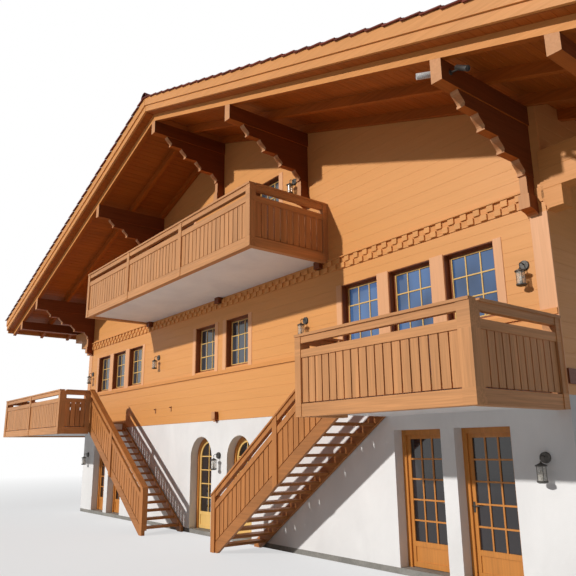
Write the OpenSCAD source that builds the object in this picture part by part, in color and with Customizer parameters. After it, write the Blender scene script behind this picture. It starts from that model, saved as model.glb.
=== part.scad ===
// Alpine chalet: plastered ground floor, timber upper floors, three balconies and two outside stairs.
// Millimetres, +Z up, front of the house towards -Y, origin on the ground at the middle of the house.

/* [House] */
// Width of the house across its front
house_w = 17940; // [17000:10:20000]
// Depth of the house from front wall to back wall
house_d = 11000; // [9000:10:16000]
// Thickness of the slab that the house stands on
slab_t = 100; // [60:5:200]
// Height of the top of the plastered walls
base_top_z = 2720; // [2600:10:2900]
// Height of the top of the plastered side walls
side_base_top_z = 2870; // [2750:10:3000]
// Thickness of the plastered walls
base_wall_t = 300; // [260:5:400]
// Thickness of the timber walls
wall_t = 240; // [180:5:300]
// Level of the first floor and of the lower balconies
first_floor_z = 2820; // [2750:5:3000]
// Level of the upper floor and of the upper balcony
upper_floor_z = 6060; // [5950:5:6300]
// Thickness of the upper floors
floor_t = 200; // [120:5:300]

/* [Ground floor doors] */
// Width of a square headed doorway
door_w = 1010; // [900:5:1080]
// Height of a square headed doorway above the slab
door_h = 2230; // [2000:10:2400]
// Distance between the middles of two neighbouring doorways
door_pitch = 1280; // [1200:5:1500]
// Distance from the middle of the house to the middle of a pair of doorways
door_pair_x = 6865; // [6500:5:7200]
// Width of an arched doorway
arch_w = 1040; // [900:5:1200]
// Height of the crown of an arched doorway above the slab
arch_h = 2243; // [2000:5:2400]
// Distance from the middle of the house to the middle of an arched doorway
arch_x = 868; // [780:2:1000]
// Width of a door frame seen from the front
door_frame_w = 60; // [45:1:80]
// Thickness of the stop that a door leaf shuts against
door_stop_t = 28; // [20:1:30]
// Width by which the stop covers the edge of the leaf
door_stop_lap = 14; // [10:1:20]

/* [Door leaves] */
// Thickness of a door leaf
leaf_t = 65; // [50:1:65]
// Gap between a door leaf and its frame
leaf_gap = 12; // [10:0.5:16]
// Gap between the face of a door leaf and the stop
leaf_stop_gap = 7; // [5:0.5:10]
// Gap under a door leaf
leaf_foot_gap = 10; // [6:0.5:20]
// Width of the stiles and of the top rail
stile_w = 82; // [60:1:100]
// Height of the panel at the foot of a leaf
leaf_panel_h = 320; // [200:5:500]
// Thickness of the panel at the foot of a leaf
leaf_panel_t = 34; // [20:1:40]
// Thickness of the glass in doors and windows
glass_t = 18; // [8:1:22]
// Width of a glazing bar
bar_w = 26; // [16:1:40]
// Thickness of a glazing bar
bar_t = 16; // [8:1:20]
// Number of panes across a leaf
pane_columns = 3; // [2:1:4]
// Panes across an arched leaf
arched_columns = 2; // [2:1:3]
// Number of panes up a leaf
pane_rows = 5; // [3:1:6]
// Radius of a hinge barrel
hinge_r = 11; // [9:0.5:14]
// Radius of a hinge pin
hinge_pin_r = 5; // [4:0.5:7]
// Clearance between a hinge pin and its barrel
hinge_pin_gap = 0.5; // [0.3:0.1:1]
// Length of one half of a hinge
hinge_half_h = 60; // [40:1:90]
// Clearance between a hinge barrel and the faces of the leaf and the frame
hinge_clear = 3; // [2:0.5:5]
// Length by which a hinge plate reaches past the gap beside the leaf
hinge_plate = 24; // [18:1:40]
// Depth by which a hinge plate is let into the wood
hinge_sink = 2; // [1:0.5:4]
// Gap between the two halves of a hinge
hinge_split = 2; // [1:0.5:5]
// Height of the lowest hinge above the foot of the leaf
hinge_low_z = 240; // [150:5:400]
// Distance between the lowest and the highest hinge of a leaf
hinge_span = 1300; // [1000:10:1300]

/* [Windows] */
// Width of a window opening
window_w = 970; // [800:5:1050]
// Level of the window sills
window_sill_z = 3990; // [3800:10:4200]
// Height of a window opening
window_h = 1200; // [1000:10:1400]
// Distance between the middles of two windows of one group
window_pitch = 1263; // [1180:1:1400]
// Distance from the middle of the house to the middle of a group of three windows
window_group_x = 6280; // [6000:5:6600]
// Distance from the middle of the house to a middle window
middle_window_x = 754; // [700:2:1000]
// Depth of the reveal in front of a window frame
window_reveal = 110; // [60:5:140]
// Width of a window frame seen from the front
window_frame_w = 55; // [40:1:80]
// Thickness of a window frame
window_frame_t = 70; // [50:1:80]
// Distance from the front wall to the middle of the first side window
side_window_y = 1300; // [780:10:1600]
// Number of windows in a side wall
side_window_n = 4; // [2:1:5]
// Height of the upper balcony doors
gable_door_h = 2290; // [2000:10:2400]
// Distance from the middle of the house to an upper balcony door
gable_door_x = 2010; // [1400:5:2500]
// Height of the sills of the back gable's windows above the upper floor
attic_sill_h = 900; // [700:10:1100]

/* [Roof] */
// Pitch of the roof in degrees
roof_pitch = 18.88; // [18:0.02:19.6]
// Height of the underside of the roof deck at the ridge above the upper floor
ridge_h = 4310; // [4200:10:4450]
// Gap at the ridge between the rafters and verge boards of the two slopes
ridge_gap = 10; // [6:1:20]
// Gap left under timbers that rest on others along a slope
seat_gap = 1; // [0.5:0.5:3]
// Thickness of the roof deck measured upright
deck_t = 350; // [200:5:450]
// Number of courses of tiles on one slope
tile_course_n = 34; // [28:1:40]
// Height of the step at the foot of a course
tile_step = 36; // [15:1:50]
// Distance by which the lowest course reaches past the edge of the roof
tile_out = 40; // [0:5:80]
// Radius of the row of ridge tiles
ridge_tile_r = 110; // [80:5:160]
// Overhang of the roof in front of the gable walls
gable_overhang = 2360; // [2200:10:2600]
// Overhang of the roof beside the side walls
eave_overhang = 2500; // [2300:10:2700]
// Height of a rafter measured upright
rafter_h = 190; // [140:5:240]
// Width of a rafter
rafter_w = 100; // [60:5:140]
// Number of rafters of each slope in front of a gable wall
outer_rafter_n = 3; // [2:1:5]
// Number of rafters of each slope over the rooms
inner_rafter_n = 11; // [7:1:15]
// Gap between a gable wall and the rafter beside it
rafter_wall_gap = 30; // [10:5:100]
// Width of a purlin
purlin_w = 180; // [140:5:220]
// Distance from the end of the purlins back from the edge of the roof
purlin_setback = 240; // [150:5:350]
// Distance from the middle of the house to the middle purlins
mid_purlin_x = 3500; // [3300:5:3800]
// Distance from the outside of the side wall to the middle of the wall purlin
wall_purlin_in = 200; // [150:5:230]
// Distance from the edge of the roof to the middle of the eave purlin
eave_purlin_in = 1070; // [800:5:1200]
// Height of the ridge, middle and wall purlins at their middle
purlin_h = 350; // [280:5:400]
// Height of the eave purlins at their middle
eave_purlin_h = 260; // [200:5:320]
// Thickness of the verge and eave boards
verge_t = 50; // [30:1:80]
// Height of the upper verge board
verge_upper_h = 190; // [120:5:220]
// Distance by which the upper verge board stands in front of the lower one
verge_step = 30; // [15:1:60]

/* [Consoles] */
// Reach of each of the four stacked console beams at its top, from the top one down
console_reach = [1750, 1320, 870, 375];
// Height of one console beam
console_beam_h = 217; // [180:1:240]
// Distance by which the carved front of a console beam runs back from its top to its foot
console_lean = 125; // [80:5:150]
// Height of the lip at the foot of a carved front
console_lip_h = 34; // [20:1:60]
// Distance by which the lip stands out under a carved front
console_lip_out = 18; // [8:1:30]
// Thickness of a console
console_w = 135; // [110:5:180]
// Depth of the post under a console
console_post_d = 220; // [160:5:240]
// Width of the post under a console
console_post_w = 120; // [100:5:180]
// Height of the straight part of the post under a console
console_post_h = 300; // [150:5:340]
// Height of the block at the foot of the post
console_block_h = 205; // [100:5:240]
// Distance by which the block is wider than the post on each side
console_block_out = 28; // [15:1:50]
// Height of the hollowed foot under the block
console_foot_h = 135; // [80:5:260]
// Height of the edge left at the front of the hollowed foot
console_foot_edge = 14; // [8:1:30]
// Reach of the three stacked corner beams past the side wall, from the lowest up
corbel_reach = [280, 880, 1560];
// Height of one corner beam
corbel_beam_h = 315; // [250:5:330]

/* [Balconies] */
// Half of the width of the upper balcony
upper_half_w = 4175; // [4000:5:4400]
// Distance by which the upper balcony's front stands back from those of the lower ones
upper_back = 90; // [0:5:400]
// Number of bays along the front of the upper balcony
upper_bays = 3; // [2:1:4]
// Distance from the middle of the house to the inner end of a lower balcony
lower_inner_x = 5600; // [5400:5:5900]
// Depth of the lower balconies
lower_d = 2100; // [1900:10:2400]
// Distance by which the left balcony runs on past the corner of the house
left_past = 2530; // [1500:10:2800]
// Length of the left balcony beside the left wall
left_return = 3000; // [2000:10:5000]
// Thickness of the balcony slabs
balcony_t = 250; // [160:5:260]
// Height of a balustrade from the foot of its fascia to the top of its rail
rail_h = 1300; // [1200:5:1350]
// Width and height of the bearers under the upper balcony
bearer = [180, 150]; // [100:5:200]
// Reach of the bearers under the upper balcony
bearer_out = 160; // [80:5:300]
// Distance from the foot of the fascia up to the balcony floor
fascia_drop = 300; // [270:5:340]
// Height of the fascia
fascia_h = 200; // [150:5:240]
// Thickness of the fascia, the boards' backing rails and the middle rail
rail_t = 60; // [45:1:80]
// Height of the middle rail
mid_rail_h = 125; // [90:5:160]
// Height of the open slot under the top rail
slot_h = 105; // [70:5:140]
// Height of the top rail
top_rail_h = 150; // [100:5:180]
// Width of the top rail under its cap
top_rail_w = 90; // [70:5:120]
// Thickness of the cap on the top rail
cap_t = 40; // [30:1:60]
// Width of the cap on the top rail
cap_w = 155; // [120:5:180]
// Distance by which the cap stands proud of the posts
cap_out = 15; // [10:1:25]
// Thickness of the balustrade boards
board_t = 28; // [18:1:35]
// Distance between the middles of two balustrade boards, at most
board_pitch = 165; // [120:1:220]
// Gap between two balustrade boards
board_gap = 24; // [15:1:50]
// Gap under the foot of the balustrade boards
board_foot_gap = 18; // [10:1:30]
// Distance from the face of the rails back to the face of the boards
board_recess = 20; // [10:1:30]
// Distance from the face of the posts back to the face of the rails
rail_recess = 12; // [5:1:25]
// Height of the rail behind the feet of the boards
backing_h = 70; // [50:5:100]
// Height of that rail's foot above the feet of the boards
backing_lift = 12; // [5:1:30]
// Thickness of the rail behind the feet of the boards
backing_t = 30; // [20:1:40]
// Width of a balustrade post
post_w = 140; // [100:5:180]
// Width of a corner post of the lower balconies
corner_post_w = 200; // [150:5:220]

/* [Stairs] */
// Number of risers in each flight
riser_n = 16; // [14:1:18]
// Depth of one step
step_run = 257; // [240:1:300]
// Thickness of a tread
tread_t = 50; // [35:1:70]
// Distance by which a tread runs under the one above it
tread_lap = 25; // [10:1:40]
// Width of the flight over its stringers
stair_w = 1130; // [900:5:1200]
// Gap between the inner stringer and the wall
stair_wall_gap = 30; // [10:1:60]
// Thickness of a stringer
stringer_t = 60; // [45:1:80]
// Height of a stringer measured upright
stringer_h = 260; // [250:5:400]
// Distance from the line of the steps down to the lower edge of a stringer
stringer_drop = 240; // [230:5:250]
// Height of the stair's handrail above the line of the steps
stair_rail_h = 1040; // [950:5:1100]
// Place of the newel half way up, as a distance from the upper end of the flight
newel_mid_x = 1850; // [1500:10:2300]
// Distance by which a newel stands proud of the stringer
newel_out = 30; // [20:1:60]

/* [Trim] */
// Level of the underside of the sill moulding
sill_band_z = 3850; // [3700:10:3860]
// Height of the sill moulding
sill_band_h = 90; // [60:5:120]
// Depth of the sill moulding in front of the wall
sill_band_d = 45; // [20:1:80]
// Level of the underside of the carved frieze
frieze_z = 5560; // [5450:10:5600]
// Height of the carved frieze
frieze_h = 230; // [150:5:260]
// Depth of the carved frieze in front of the wall
frieze_d = 30; // [15:1:45]

// Height of the sill beam of a side wall
sill_beam_h = 210; // [150:5:260]
// Depth of the sill beam beside a side wall
sill_beam_d = 40; // [20:1:60]

/* [Lanterns] */
// Distance from the middle of the house to the outer lanterns
lantern_outer_x = 8530; // [8300:5:8700]
// Distance from the middle of the house to the lanterns between the windows
lantern_inner_x = 3400; // [3000:5:3700]
// Distance from the middle of the house to the lanterns on the upper balcony
lantern_gable_x = 3090; // [2850:5:3200]
// Heights of the wall plates of the ground floor, first floor and upper lanterns
lantern_z = [1885, 4660, 7950]; // [1700:5:8000]
// Radius of a lantern's wall plate
lantern_plate_r = 78; // [60:1:95]
// Thickness of a lantern's wall plate
lantern_plate_t = 18; // [10:1:30]
// Distance from the wall to the middle of a lantern
lantern_reach = 150; // [120:1:200]
// Radius of the arm that carries a lantern
lantern_arm_r = 8; // [6:0.5:12]
// Radius of the rod between the arm and a lantern's roof
lantern_rod_r = 14; // [12:0.5:20]
// Radius of the glass of a lantern
lantern_glass_r = 62; // [50:1:75]
// Height of the glass of a lantern
lantern_glass_h = 190; // [150:5:230]
// Radius of the roof and of the foot of a lantern
lantern_roof_r = 84; // [70:1:100]
// Height of the roof of a lantern
lantern_roof_h = 75; // [50:1:110]
// Height of the foot of a lantern
lantern_foot_h = 22; // [12:1:35]

/* [Hidden] */
// Number of pieces in a full circle
$fn = 48;
// Overlap that lets one cut pass right through its wall
cut = 20;

ridge_z = upper_floor_z + ridge_h;
half_w = house_w / 2;
half_d = house_d / 2;
slope = tan(roof_pitch);
eave_x = half_w + eave_overhang;
roof_half_l = half_d + gable_overhang;
deck_half_l = roof_half_l - verge_t;
purlin_half_l = roof_half_l - purlin_setback;
wall_purlin_x = half_w - wall_purlin_in;
eave_purlin_x = eave_x - eave_purlin_in;
purlin_x = [0, mid_purlin_x, wall_purlin_x, eave_purlin_x];
purlin_drop = [purlin_h, purlin_h, purlin_h, eave_purlin_h];
outer_rafter_pitch = (gable_overhang - purlin_setback - rafter_w - rafter_wall_gap) / (outer_rafter_n - 1);
inner_rafter_pitch = (house_d - 2 * wall_t) / inner_rafter_n;
outer_rafters = [for (k = [0:outer_rafter_n - 1]) -purlin_half_l + k * outer_rafter_pitch];
inner_rafters = [for (k = [0:inner_rafter_n - 1])
    wall_t - half_d + (k + 0.5) * inner_rafter_pitch - rafter_w / 2];
rafter_y = concat(outer_rafters, inner_rafters, [for (y = outer_rafters) -y - rafter_w]);
eave_purlin_z = rake(eave_purlin_x) - rafter_h - eave_purlin_h;
console_h = len(console_reach) * console_beam_h;

door_head_z = slab_t + door_h;
arch_top_z = slab_t + arch_h;
arch_spring_z = arch_top_z - arch_w / 2;
doorways = [for (k = [-0.5, 0.5]) door_pair_x + k * door_pitch];
leaf_w = door_w - 2 * (door_frame_w + leaf_gap);
leaf_h = door_h - door_frame_w - leaf_gap - leaf_foot_gap;
arch_leaf_w = arch_w - 2 * (door_frame_w + leaf_gap);
arch_leaf_h = arch_h - door_frame_w - leaf_gap - leaf_foot_gap;
leaf_front = base_wall_t - leaf_t;
frame_front = leaf_front - leaf_stop_gap - door_stop_t;
hinge_stand = hinge_r + hinge_clear;
hinge_y = base_wall_t + hinge_stand;

side_window_pitch = (house_d - 2 * side_window_y) / (side_window_n - 1);
front_windows = [for (k = [-1:1]) window_group_x + k * window_pitch];
floor_door_h = window_sill_z + window_h - first_floor_z - cut;

riser = first_floor_z / riser_n;
flight_l = (riser_n - 1) * step_run;
stair_slope = riser / step_run;
stair_foot_x = lower_inner_x - flight_l;
upper_d = lower_d - upper_back;
lower_fascia_z = first_floor_z - fascia_drop;
upper_fascia_z = upper_floor_z - fascia_drop;

// Height of the underside of the roof deck at a distance from the ridge
function rake(x) = ridge_z - slope * abs(x);

// Helpers that place plain shapes

module box(x, y, z) {
    translate([x[0], y[0], z[0]])
        cube([x[1] - x[0], y[1] - y[0], z[1] - z[0]]);
}

// Extrudes an outline in X and Z from one Y to another
module along_y(y) {
    translate([0, y[1], 0])
        rotate([90, 0, 0])
            linear_extrude(y[1] - y[0])
                children();
}

// Extrudes an outline in Y and Z from one X to another
module along_x(x) {
    translate([x[0], 0, 0])
        rotate([90, 0, 90])
            linear_extrude(x[1] - x[0])
                children();
}

// Moves the front wall's plane to the front of the house, with +Y into the house
module at_front() {
    translate([0, -half_d, 0])
        children();
}

module at_both_gables() {
    at_front()
        children();
    mirror([0, 1, 0])
        at_front()
            children();
}

module both_sides() {
    children();
    mirror([1, 0, 0])
        children();
}

// Ground floor

module ground_slab() {
    color("gainsboro")
        box([-half_w, half_w], [-half_d, half_d], [0, slab_t]);
}

// Outline of an arched opening, its foot at zero and its middle at zero
module arch_outline(w, h) {
    translate([-w / 2, 0])
        square([w, h - w / 2]);
    translate([0, h - w / 2])
        circle(d = w);
}

module front_base_piers() {
    gaps = [
        [arch_x + arch_w / 2, doorways[0] - door_w / 2],
        [doorways[0] + door_w / 2, doorways[1] - door_w / 2],
        [doorways[1] + door_w / 2, half_w]
    ];
    color("white")
        at_front() {
            box([-arch_x + arch_w / 2, arch_x - arch_w / 2], [0, base_wall_t], [slab_t, base_top_z]);
            both_sides()
                for (g = gaps)
                    box(g, [0, base_wall_t], [slab_t, base_top_z]);
        }
}

module front_base_lintels() {
    color("white")
        at_front()
            both_sides() {
                for (x = doorways)
                    box([x - door_w / 2, x + door_w / 2], [0, base_wall_t], [door_head_z, base_top_z]);
                difference() {
                    box([arch_x - arch_w / 2, arch_x + arch_w / 2], [0, base_wall_t],
                        [arch_spring_z, base_top_z]);
                    translate([arch_x, base_wall_t / 2, arch_spring_z])
                        rotate([90, 0, 0])
                            cylinder(d = arch_w, h = base_wall_t + cut, center = true);
                }
            }
}

module side_base_walls() {
    color("white")
        both_sides()
            box([half_w - base_wall_t, half_w], [-half_d + base_wall_t, half_d - base_wall_t],
                [slab_t, side_base_top_z]);
}

module back_base_wall() {
    color("white")
        box([-half_w, half_w], [half_d - base_wall_t, half_d], [slab_t, base_top_z]);
}

// Doors

// Frame round a doorway with a square head, middle at zero
module square_frame(w, h, side, depth) {
    along_y([0, depth])
        difference() {
            translate([-w / 2, 0])
                square([w, h]);
            translate([-w / 2 + side, -cut])
                square([w - 2 * side, h - side + cut]);
        }
}

// Frame round an arched doorway, middle at zero
module arched_frame(w, h, side, depth) {
    along_y([0, depth])
        difference() {
            arch_outline(w, h);
            translate([0, -cut])
                arch_outline(w - 2 * side, h - side + cut);
        }
}

// Plate that carries one half of a hinge; side says which way it reaches from the hinge line
module hinge_plate_at(side) {
    reach = leaf_gap / 2 + hinge_plate / 2;
    translate([side * reach, -hinge_stand / 2, hinge_half_h / 2])
        cube([hinge_plate, hinge_stand + 2 * hinge_sink, hinge_half_h], center = true);
}

// The fixed halves of the hinges with their pins, on the frame beside the hinge line
module hinges_on_frame(side) {
    for (z = [0, hinge_span])
        translate([0, 0, slab_t + leaf_foot_gap + hinge_low_z + z]) {
            cylinder(r = hinge_r, h = hinge_half_h);
            cylinder(r = hinge_pin_r, h = 2 * hinge_half_h);
            hinge_plate_at(side);
        }
}

module door_frame_at(x, w, arched, side) {
    translate([x, 0, 0]) {
        translate([0, frame_front, slab_t])
            if (arched) {
                arched_frame(w, arch_h, door_frame_w + leaf_gap + door_stop_lap, door_stop_t);
                arched_frame(w, arch_h, door_frame_w, base_wall_t - frame_front);
            } else {
                square_frame(w, door_h, door_frame_w + leaf_gap + door_stop_lap, door_stop_t);
                square_frame(w, door_h, door_frame_w, base_wall_t - frame_front);
            }
        translate([side * (w / 2 - door_frame_w - leaf_gap / 2), hinge_y, 0])
            hinges_on_frame(side);
    }
}

module door_frames() {
    color("chocolate")
        at_front()
            both_sides() {
                door_frame_at(doorways[0], door_w, false, -1);
                door_frame_at(doorways[1], door_w, false, 1);
                door_frame_at(arch_x, arch_w, true, 1);
            }
}

// Outline of a leaf, foot at zero and middle at zero, taken in by an inset
module leaf_outline(w, h, arched, inset) {
    if (arched)
        intersection() {
            arch_outline(w - 2 * inset, h - inset);
            translate([-w / 2, inset])
                square([w, h]);
        }
    else
        translate([-w / 2 + inset, inset])
            square([w - 2 * inset, h - 2 * inset]);
}

// Outline of the glass of a leaf
module glass_outline(w, h, arched) {
    difference() {
        leaf_outline(w, h, arched, stile_w);
        translate([-w, 0])
            square([2 * w, stile_w + leaf_panel_h]);
    }
}

// Bars that divide the glass of a leaf in columns and rows
module glazing_bars(w, h, arched) {
    columns = arched ? arched_columns : pane_columns;
    column = (w - 2 * stile_w) / columns;
    foot = stile_w + leaf_panel_h;
    row = (h - foot - stile_w) / pane_rows;
    intersection() {
        union() {
            for (k = [1:columns - 1])
                translate([stile_w - w / 2 + k * column - bar_w / 2, foot - cut])
                    square([bar_w, h - foot]);
            for (k = [1:pane_rows - 1])
                translate([-w / 2, foot + k * row - bar_w / 2])
                    square([w, bar_w]);
        }
        leaf_outline(w, h, arched, stile_w / 2);
    }
}

// A leaf with its hinge halves; side says which way the hinges are from its middle
module leaf_at(x, w, h, arched, side) {
    translate([x, 0, slab_t + leaf_foot_gap]) {
        difference() {
            along_y([leaf_front, base_wall_t])
                leaf_outline(w, h, arched, 0);
            along_y([leaf_front - cut, base_wall_t + cut])
                glass_outline(w, h, arched);
            along_y([leaf_front - cut, leaf_front + (leaf_t - leaf_panel_t) / 2])
                translate([-w / 2 + stile_w, stile_w])
                    square([w - 2 * stile_w, leaf_panel_h - stile_w]);
        }
        along_y([leaf_front + leaf_t / 2 - glass_t / 2 - bar_t, leaf_front + leaf_t / 2 - glass_t / 2])
            glazing_bars(w, h, arched);
        translate([side * (w + leaf_gap) / 2, hinge_y, hinge_low_z])
            for (z = [0, hinge_span])
                translate([0, 0, z + hinge_half_h + hinge_split])
                    hinge_on_leaf(side);
    }
}

// The moving half of a hinge, bored for its pin
module hinge_on_leaf(side) {
    difference() {
        union() {
            cylinder(r = hinge_r, h = hinge_half_h);
            hinge_plate_at(-side);
        }
        translate([0, 0, -cut])
            cylinder(r = hinge_pin_r + hinge_pin_gap, h = hinge_half_h + 2 * cut);
    }
}

module leaf_glass_at(x, w, h, arched) {
    color("lightblue", 0.5)
        at_front()
            translate([x, 0, slab_t + leaf_foot_gap])
                along_y([leaf_front + leaf_t / 2 - glass_t / 2, leaf_front + leaf_t / 2 + glass_t / 2])
                    glass_outline(w, h, arched);
}

module square_leaf(x, side) {
    color("chocolate")
        at_front()
            leaf_at(x, leaf_w, leaf_h, false, side);
}

module arched_leaf(x, side) {
    color("goldenrod")
        at_front()
            leaf_at(x, arch_leaf_w, arch_leaf_h, true, side);
}

module right_outer_door() { square_leaf(doorways[1], 1); }
module right_inner_door() { square_leaf(doorways[0], -1); }
module left_outer_door() { square_leaf(-doorways[1], -1); }
module left_inner_door() { square_leaf(-doorways[0], 1); }
module right_arched_door() { arched_leaf(arch_x, 1); }
module left_arched_door() { arched_leaf(-arch_x, -1); }
module right_outer_glass() { leaf_glass_at(doorways[1], leaf_w, leaf_h, false); }
module right_inner_glass() { leaf_glass_at(doorways[0], leaf_w, leaf_h, false); }
module left_outer_glass() { leaf_glass_at(-doorways[1], leaf_w, leaf_h, false); }
module left_inner_glass() { leaf_glass_at(-doorways[0], leaf_w, leaf_h, false); }
module right_arched_glass() { leaf_glass_at(arch_x, arch_leaf_w, arch_leaf_h, true); }
module left_arched_glass() { leaf_glass_at(-arch_x, arch_leaf_w, arch_leaf_h, true); }

// Floors

module floors() {
    color("tan") {
        box([-half_w + base_wall_t, half_w - base_wall_t], [-half_d + base_wall_t, half_d - base_wall_t],
            [first_floor_z - floor_t, first_floor_z]);
        box([-half_w + wall_t, half_w - wall_t], [-half_d + wall_t, half_d - wall_t],
            [upper_floor_z - floor_t, upper_floor_z]);
    }
}

// Timber walls

// Place and size of each window opening of the front wall: middle, foot and height
function front_openings() = concat(
    [for (s = [-1, 1]) [s * middle_window_x, window_sill_z, window_h]],
    [for (x = front_windows) [-x, window_sill_z, window_h]],
    [for (x = front_windows)
        x == window_group_x
            ? [x, first_floor_z + cut, floor_door_h]
            : [x, window_sill_z, window_h]]
);

function back_openings() = concat(
    [for (s = [-1, 1]) [s * middle_window_x, window_sill_z, window_h]],
    [for (s = [-1, 1], x = front_windows) [s * x, window_sill_z, window_h]]
);

function gable_openings() = [for (s = [-1, 1]) [s * gable_door_x, upper_floor_z + cut, gable_door_h]];

function attic_openings() = [for (s = [-1, 1]) [s * gable_door_x, upper_floor_z + attic_sill_h, window_h]];

function side_openings() = [for (k = [0:side_window_n - 1])
    [side_window_y + k * side_window_pitch - half_d, window_sill_z, window_h]];

// Window openings cut through a wall in the front wall's plane
module cut_openings(openings) {
    for (o = openings)
        box([o[0] - window_w / 2, o[0] + window_w / 2], [-cut, wall_t + cut], [o[1], o[1] + o[2]]);
}

module front_wall() {
    color("peru")
        at_front()
            difference() {
                box([-half_w, half_w], [0, wall_t], [base_top_z, upper_floor_z]);
                cut_openings(front_openings());
            }
}

module back_wall() {
    color("peru")
        mirror([0, 1, 0])
            at_front()
                difference() {
                    box([-half_w, half_w], [0, wall_t], [base_top_z, upper_floor_z]);
                    cut_openings(back_openings());
                }
}

// Turns the front wall's plane to the right side wall
module at_right_side() {
    translate([half_w, 0, 0])
        rotate([0, 0, 90])
            children();
}

// A side wall reaches up between the rafters and leaves their tops free
module side_walls() {
    top = [rake(half_w - wall_t) - 2 * seat_gap, rake(half_w) - 2 * seat_gap];
    color("peru")
        both_sides()
            difference() {
                along_y([-half_d + wall_t, half_d - wall_t])
                    polygon([
                        [half_w - wall_t, side_base_top_z], [half_w, side_base_top_z],
                        [half_w, top[1]], [half_w - wall_t, top[0]]
                    ]);
                at_right_side()
                    cut_openings(side_openings());
                rafters_of_one_slope();
                purlin_at(2);
            }
}

module gable_wall(openings) {
    side_top = rake(half_w) - seat_gap;
    difference() {
        along_y([0, wall_t])
            polygon([
                [-half_w, upper_floor_z], [half_w, upper_floor_z],
                [half_w, side_top], [0, ridge_z - seat_gap], [-half_w, side_top]
            ]);
        cut_openings(openings);
    }
}

module gable_walls() {
    color("peru")
        difference() {
            union() {
                at_front()
                    gable_wall(gable_openings());
                mirror([0, 1, 0])
                    at_front()
                        gable_wall(attic_openings());
            }
            purlin_at(0);
            both_sides()
                for (k = [1, 2])
                    purlin_at(k);
        }
}

// Windows

module window_frame(o) {
    along_y([window_reveal, window_reveal + window_frame_t])
        difference() {
            translate([o[0] - window_w / 2, o[1]])
                square([window_w, o[2]]);
            translate([o[0] - window_w / 2 + window_frame_w, o[1] + window_frame_w])
                square([window_w - 2 * window_frame_w, o[2] - 2 * window_frame_w]);
        }
}

module window_pane(o) {
    middle = window_reveal + window_frame_t / 2;
    box([o[0] - window_w / 2 + window_frame_w, o[0] + window_w / 2 - window_frame_w],
        [middle - glass_t / 2, middle + glass_t / 2],
        [o[1] + window_frame_w, o[1] + o[2] - window_frame_w]);
}

module window_frames() {
    color("burlywood") {
        at_front()
            for (o = concat(front_openings(), gable_openings()))
                window_frame(o);
        mirror([0, 1, 0])
            at_front()
                for (o = concat(back_openings(), attic_openings()))
                    window_frame(o);
        both_sides()
            at_right_side()
                for (o = side_openings())
                    window_frame(o);
    }
}

module window_glass() {
    color("lightblue", 0.5) {
        at_front()
            for (o = concat(front_openings(), gable_openings()))
                window_pane(o);
        mirror([0, 1, 0])
            at_front()
                for (o = concat(back_openings(), attic_openings()))
                    window_pane(o);
        both_sides()
            at_right_side()
                for (o = side_openings())
                    window_pane(o);
    }
}

// Roof

// One purlin of the right half; its top is bevelled to the underside of the rafters
module purlin_at(k) {
    x = purlin_x[k];
    foot = rake(x) - rafter_h - purlin_drop[k];
    seat = rafter_h + seat_gap;
    outer = [x + purlin_w / 2, rake(x + purlin_w / 2) - seat];
    inner = [x - purlin_w / 2, rake(x - purlin_w / 2) - seat];
    crown = [x, rake(x) - seat];
    along_y([-purlin_half_l, purlin_half_l])
        polygon([[inner[0], foot], [outer[0], foot], outer, crown, inner]);
}

module purlins() {
    color("sienna") {
        purlin_at(0);
        both_sides()
            for (k = [1:3])
                purlin_at(k);
    }
}

// Outline of a piece that follows the right slope between two heights above the deck's underside
module slope_outline(x, z) {
    polygon([
        [x[0], rake(x[0]) + z[0]], [x[1], rake(x[1]) + z[0]],
        [x[1], rake(x[1]) + z[1]], [x[0], rake(x[0]) + z[1]]
    ]);
}

module rafters_of_one_slope() {
    for (y = rafter_y)
        along_y([y, y + rafter_w])
            slope_outline([ridge_gap / 2, eave_x - verge_t], [-rafter_h, -seat_gap]);
}

module rafters() {
    color("saddlebrown")
        both_sides()
            rafters_of_one_slope();
}

// Points of the top of the right slope in X and Z, from the ridge down: each course has its foot
// one step above the head of the next, and the edge of the deck cuts the lowest one.
function course_x(k) = (eave_x + tile_out) * k / tile_course_n;

function course_points() = concat(
    [
        for (k = [1:tile_course_n - 1])
            for (lift = [tile_step, 0])
                [course_x(k), rake(course_x(k)) + deck_t + lift]
    ],
    [[
        eave_x - verge_t,
        rake(eave_x - verge_t) + deck_t
            + tile_step * (1 - (tile_out + verge_t) / (course_x(1) - course_x(0)))
    ]]
);

module roof_slope() {
    along_y([-deck_half_l, deck_half_l]) {
        polygon(concat(
            [[eave_x - verge_t, rake(eave_x - verge_t)], [0, ridge_z], [0, ridge_z + deck_t]],
            course_points()
        ));
        intersection() {
            translate([0, ridge_z + deck_t])
                circle(ridge_tile_r);
            square([ridge_tile_r, ridge_z + deck_t + ridge_tile_r]);
        }
    }
}

module roof_right() {
    color("peru")
        roof_slope();
}

module roof_left() {
    color("peru")
        mirror([1, 0, 0])
            roof_slope();
}

// The upper verge board stands in front of the lower one
module verge_boards() {
    x = [ridge_gap / 2, eave_x];
    step_z = deck_t - verge_upper_h;
    color("sandybrown")
        at_both_gables()
            translate([0, -gable_overhang, 0])
                both_sides() {
                    along_y([0, verge_t])
                        slope_outline(x, [0, step_z]);
                    along_y([-verge_step, verge_t])
                        slope_outline(x, [step_z, deck_t + verge_t / 2]);
                }
}

module eave_boards() {
    color("sandybrown")
        both_sides()
            along_y([-deck_half_l, deck_half_l])
                polygon([
                    [eave_x - verge_t, rake(eave_x) - rafter_h / 2], [eave_x, rake(eave_x) - rafter_h / 2],
                    [eave_x, rake(eave_x) + deck_t], [eave_x - verge_t, rake(eave_x - verge_t) + deck_t]
                ]);
}

// Consoles and corbels

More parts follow.
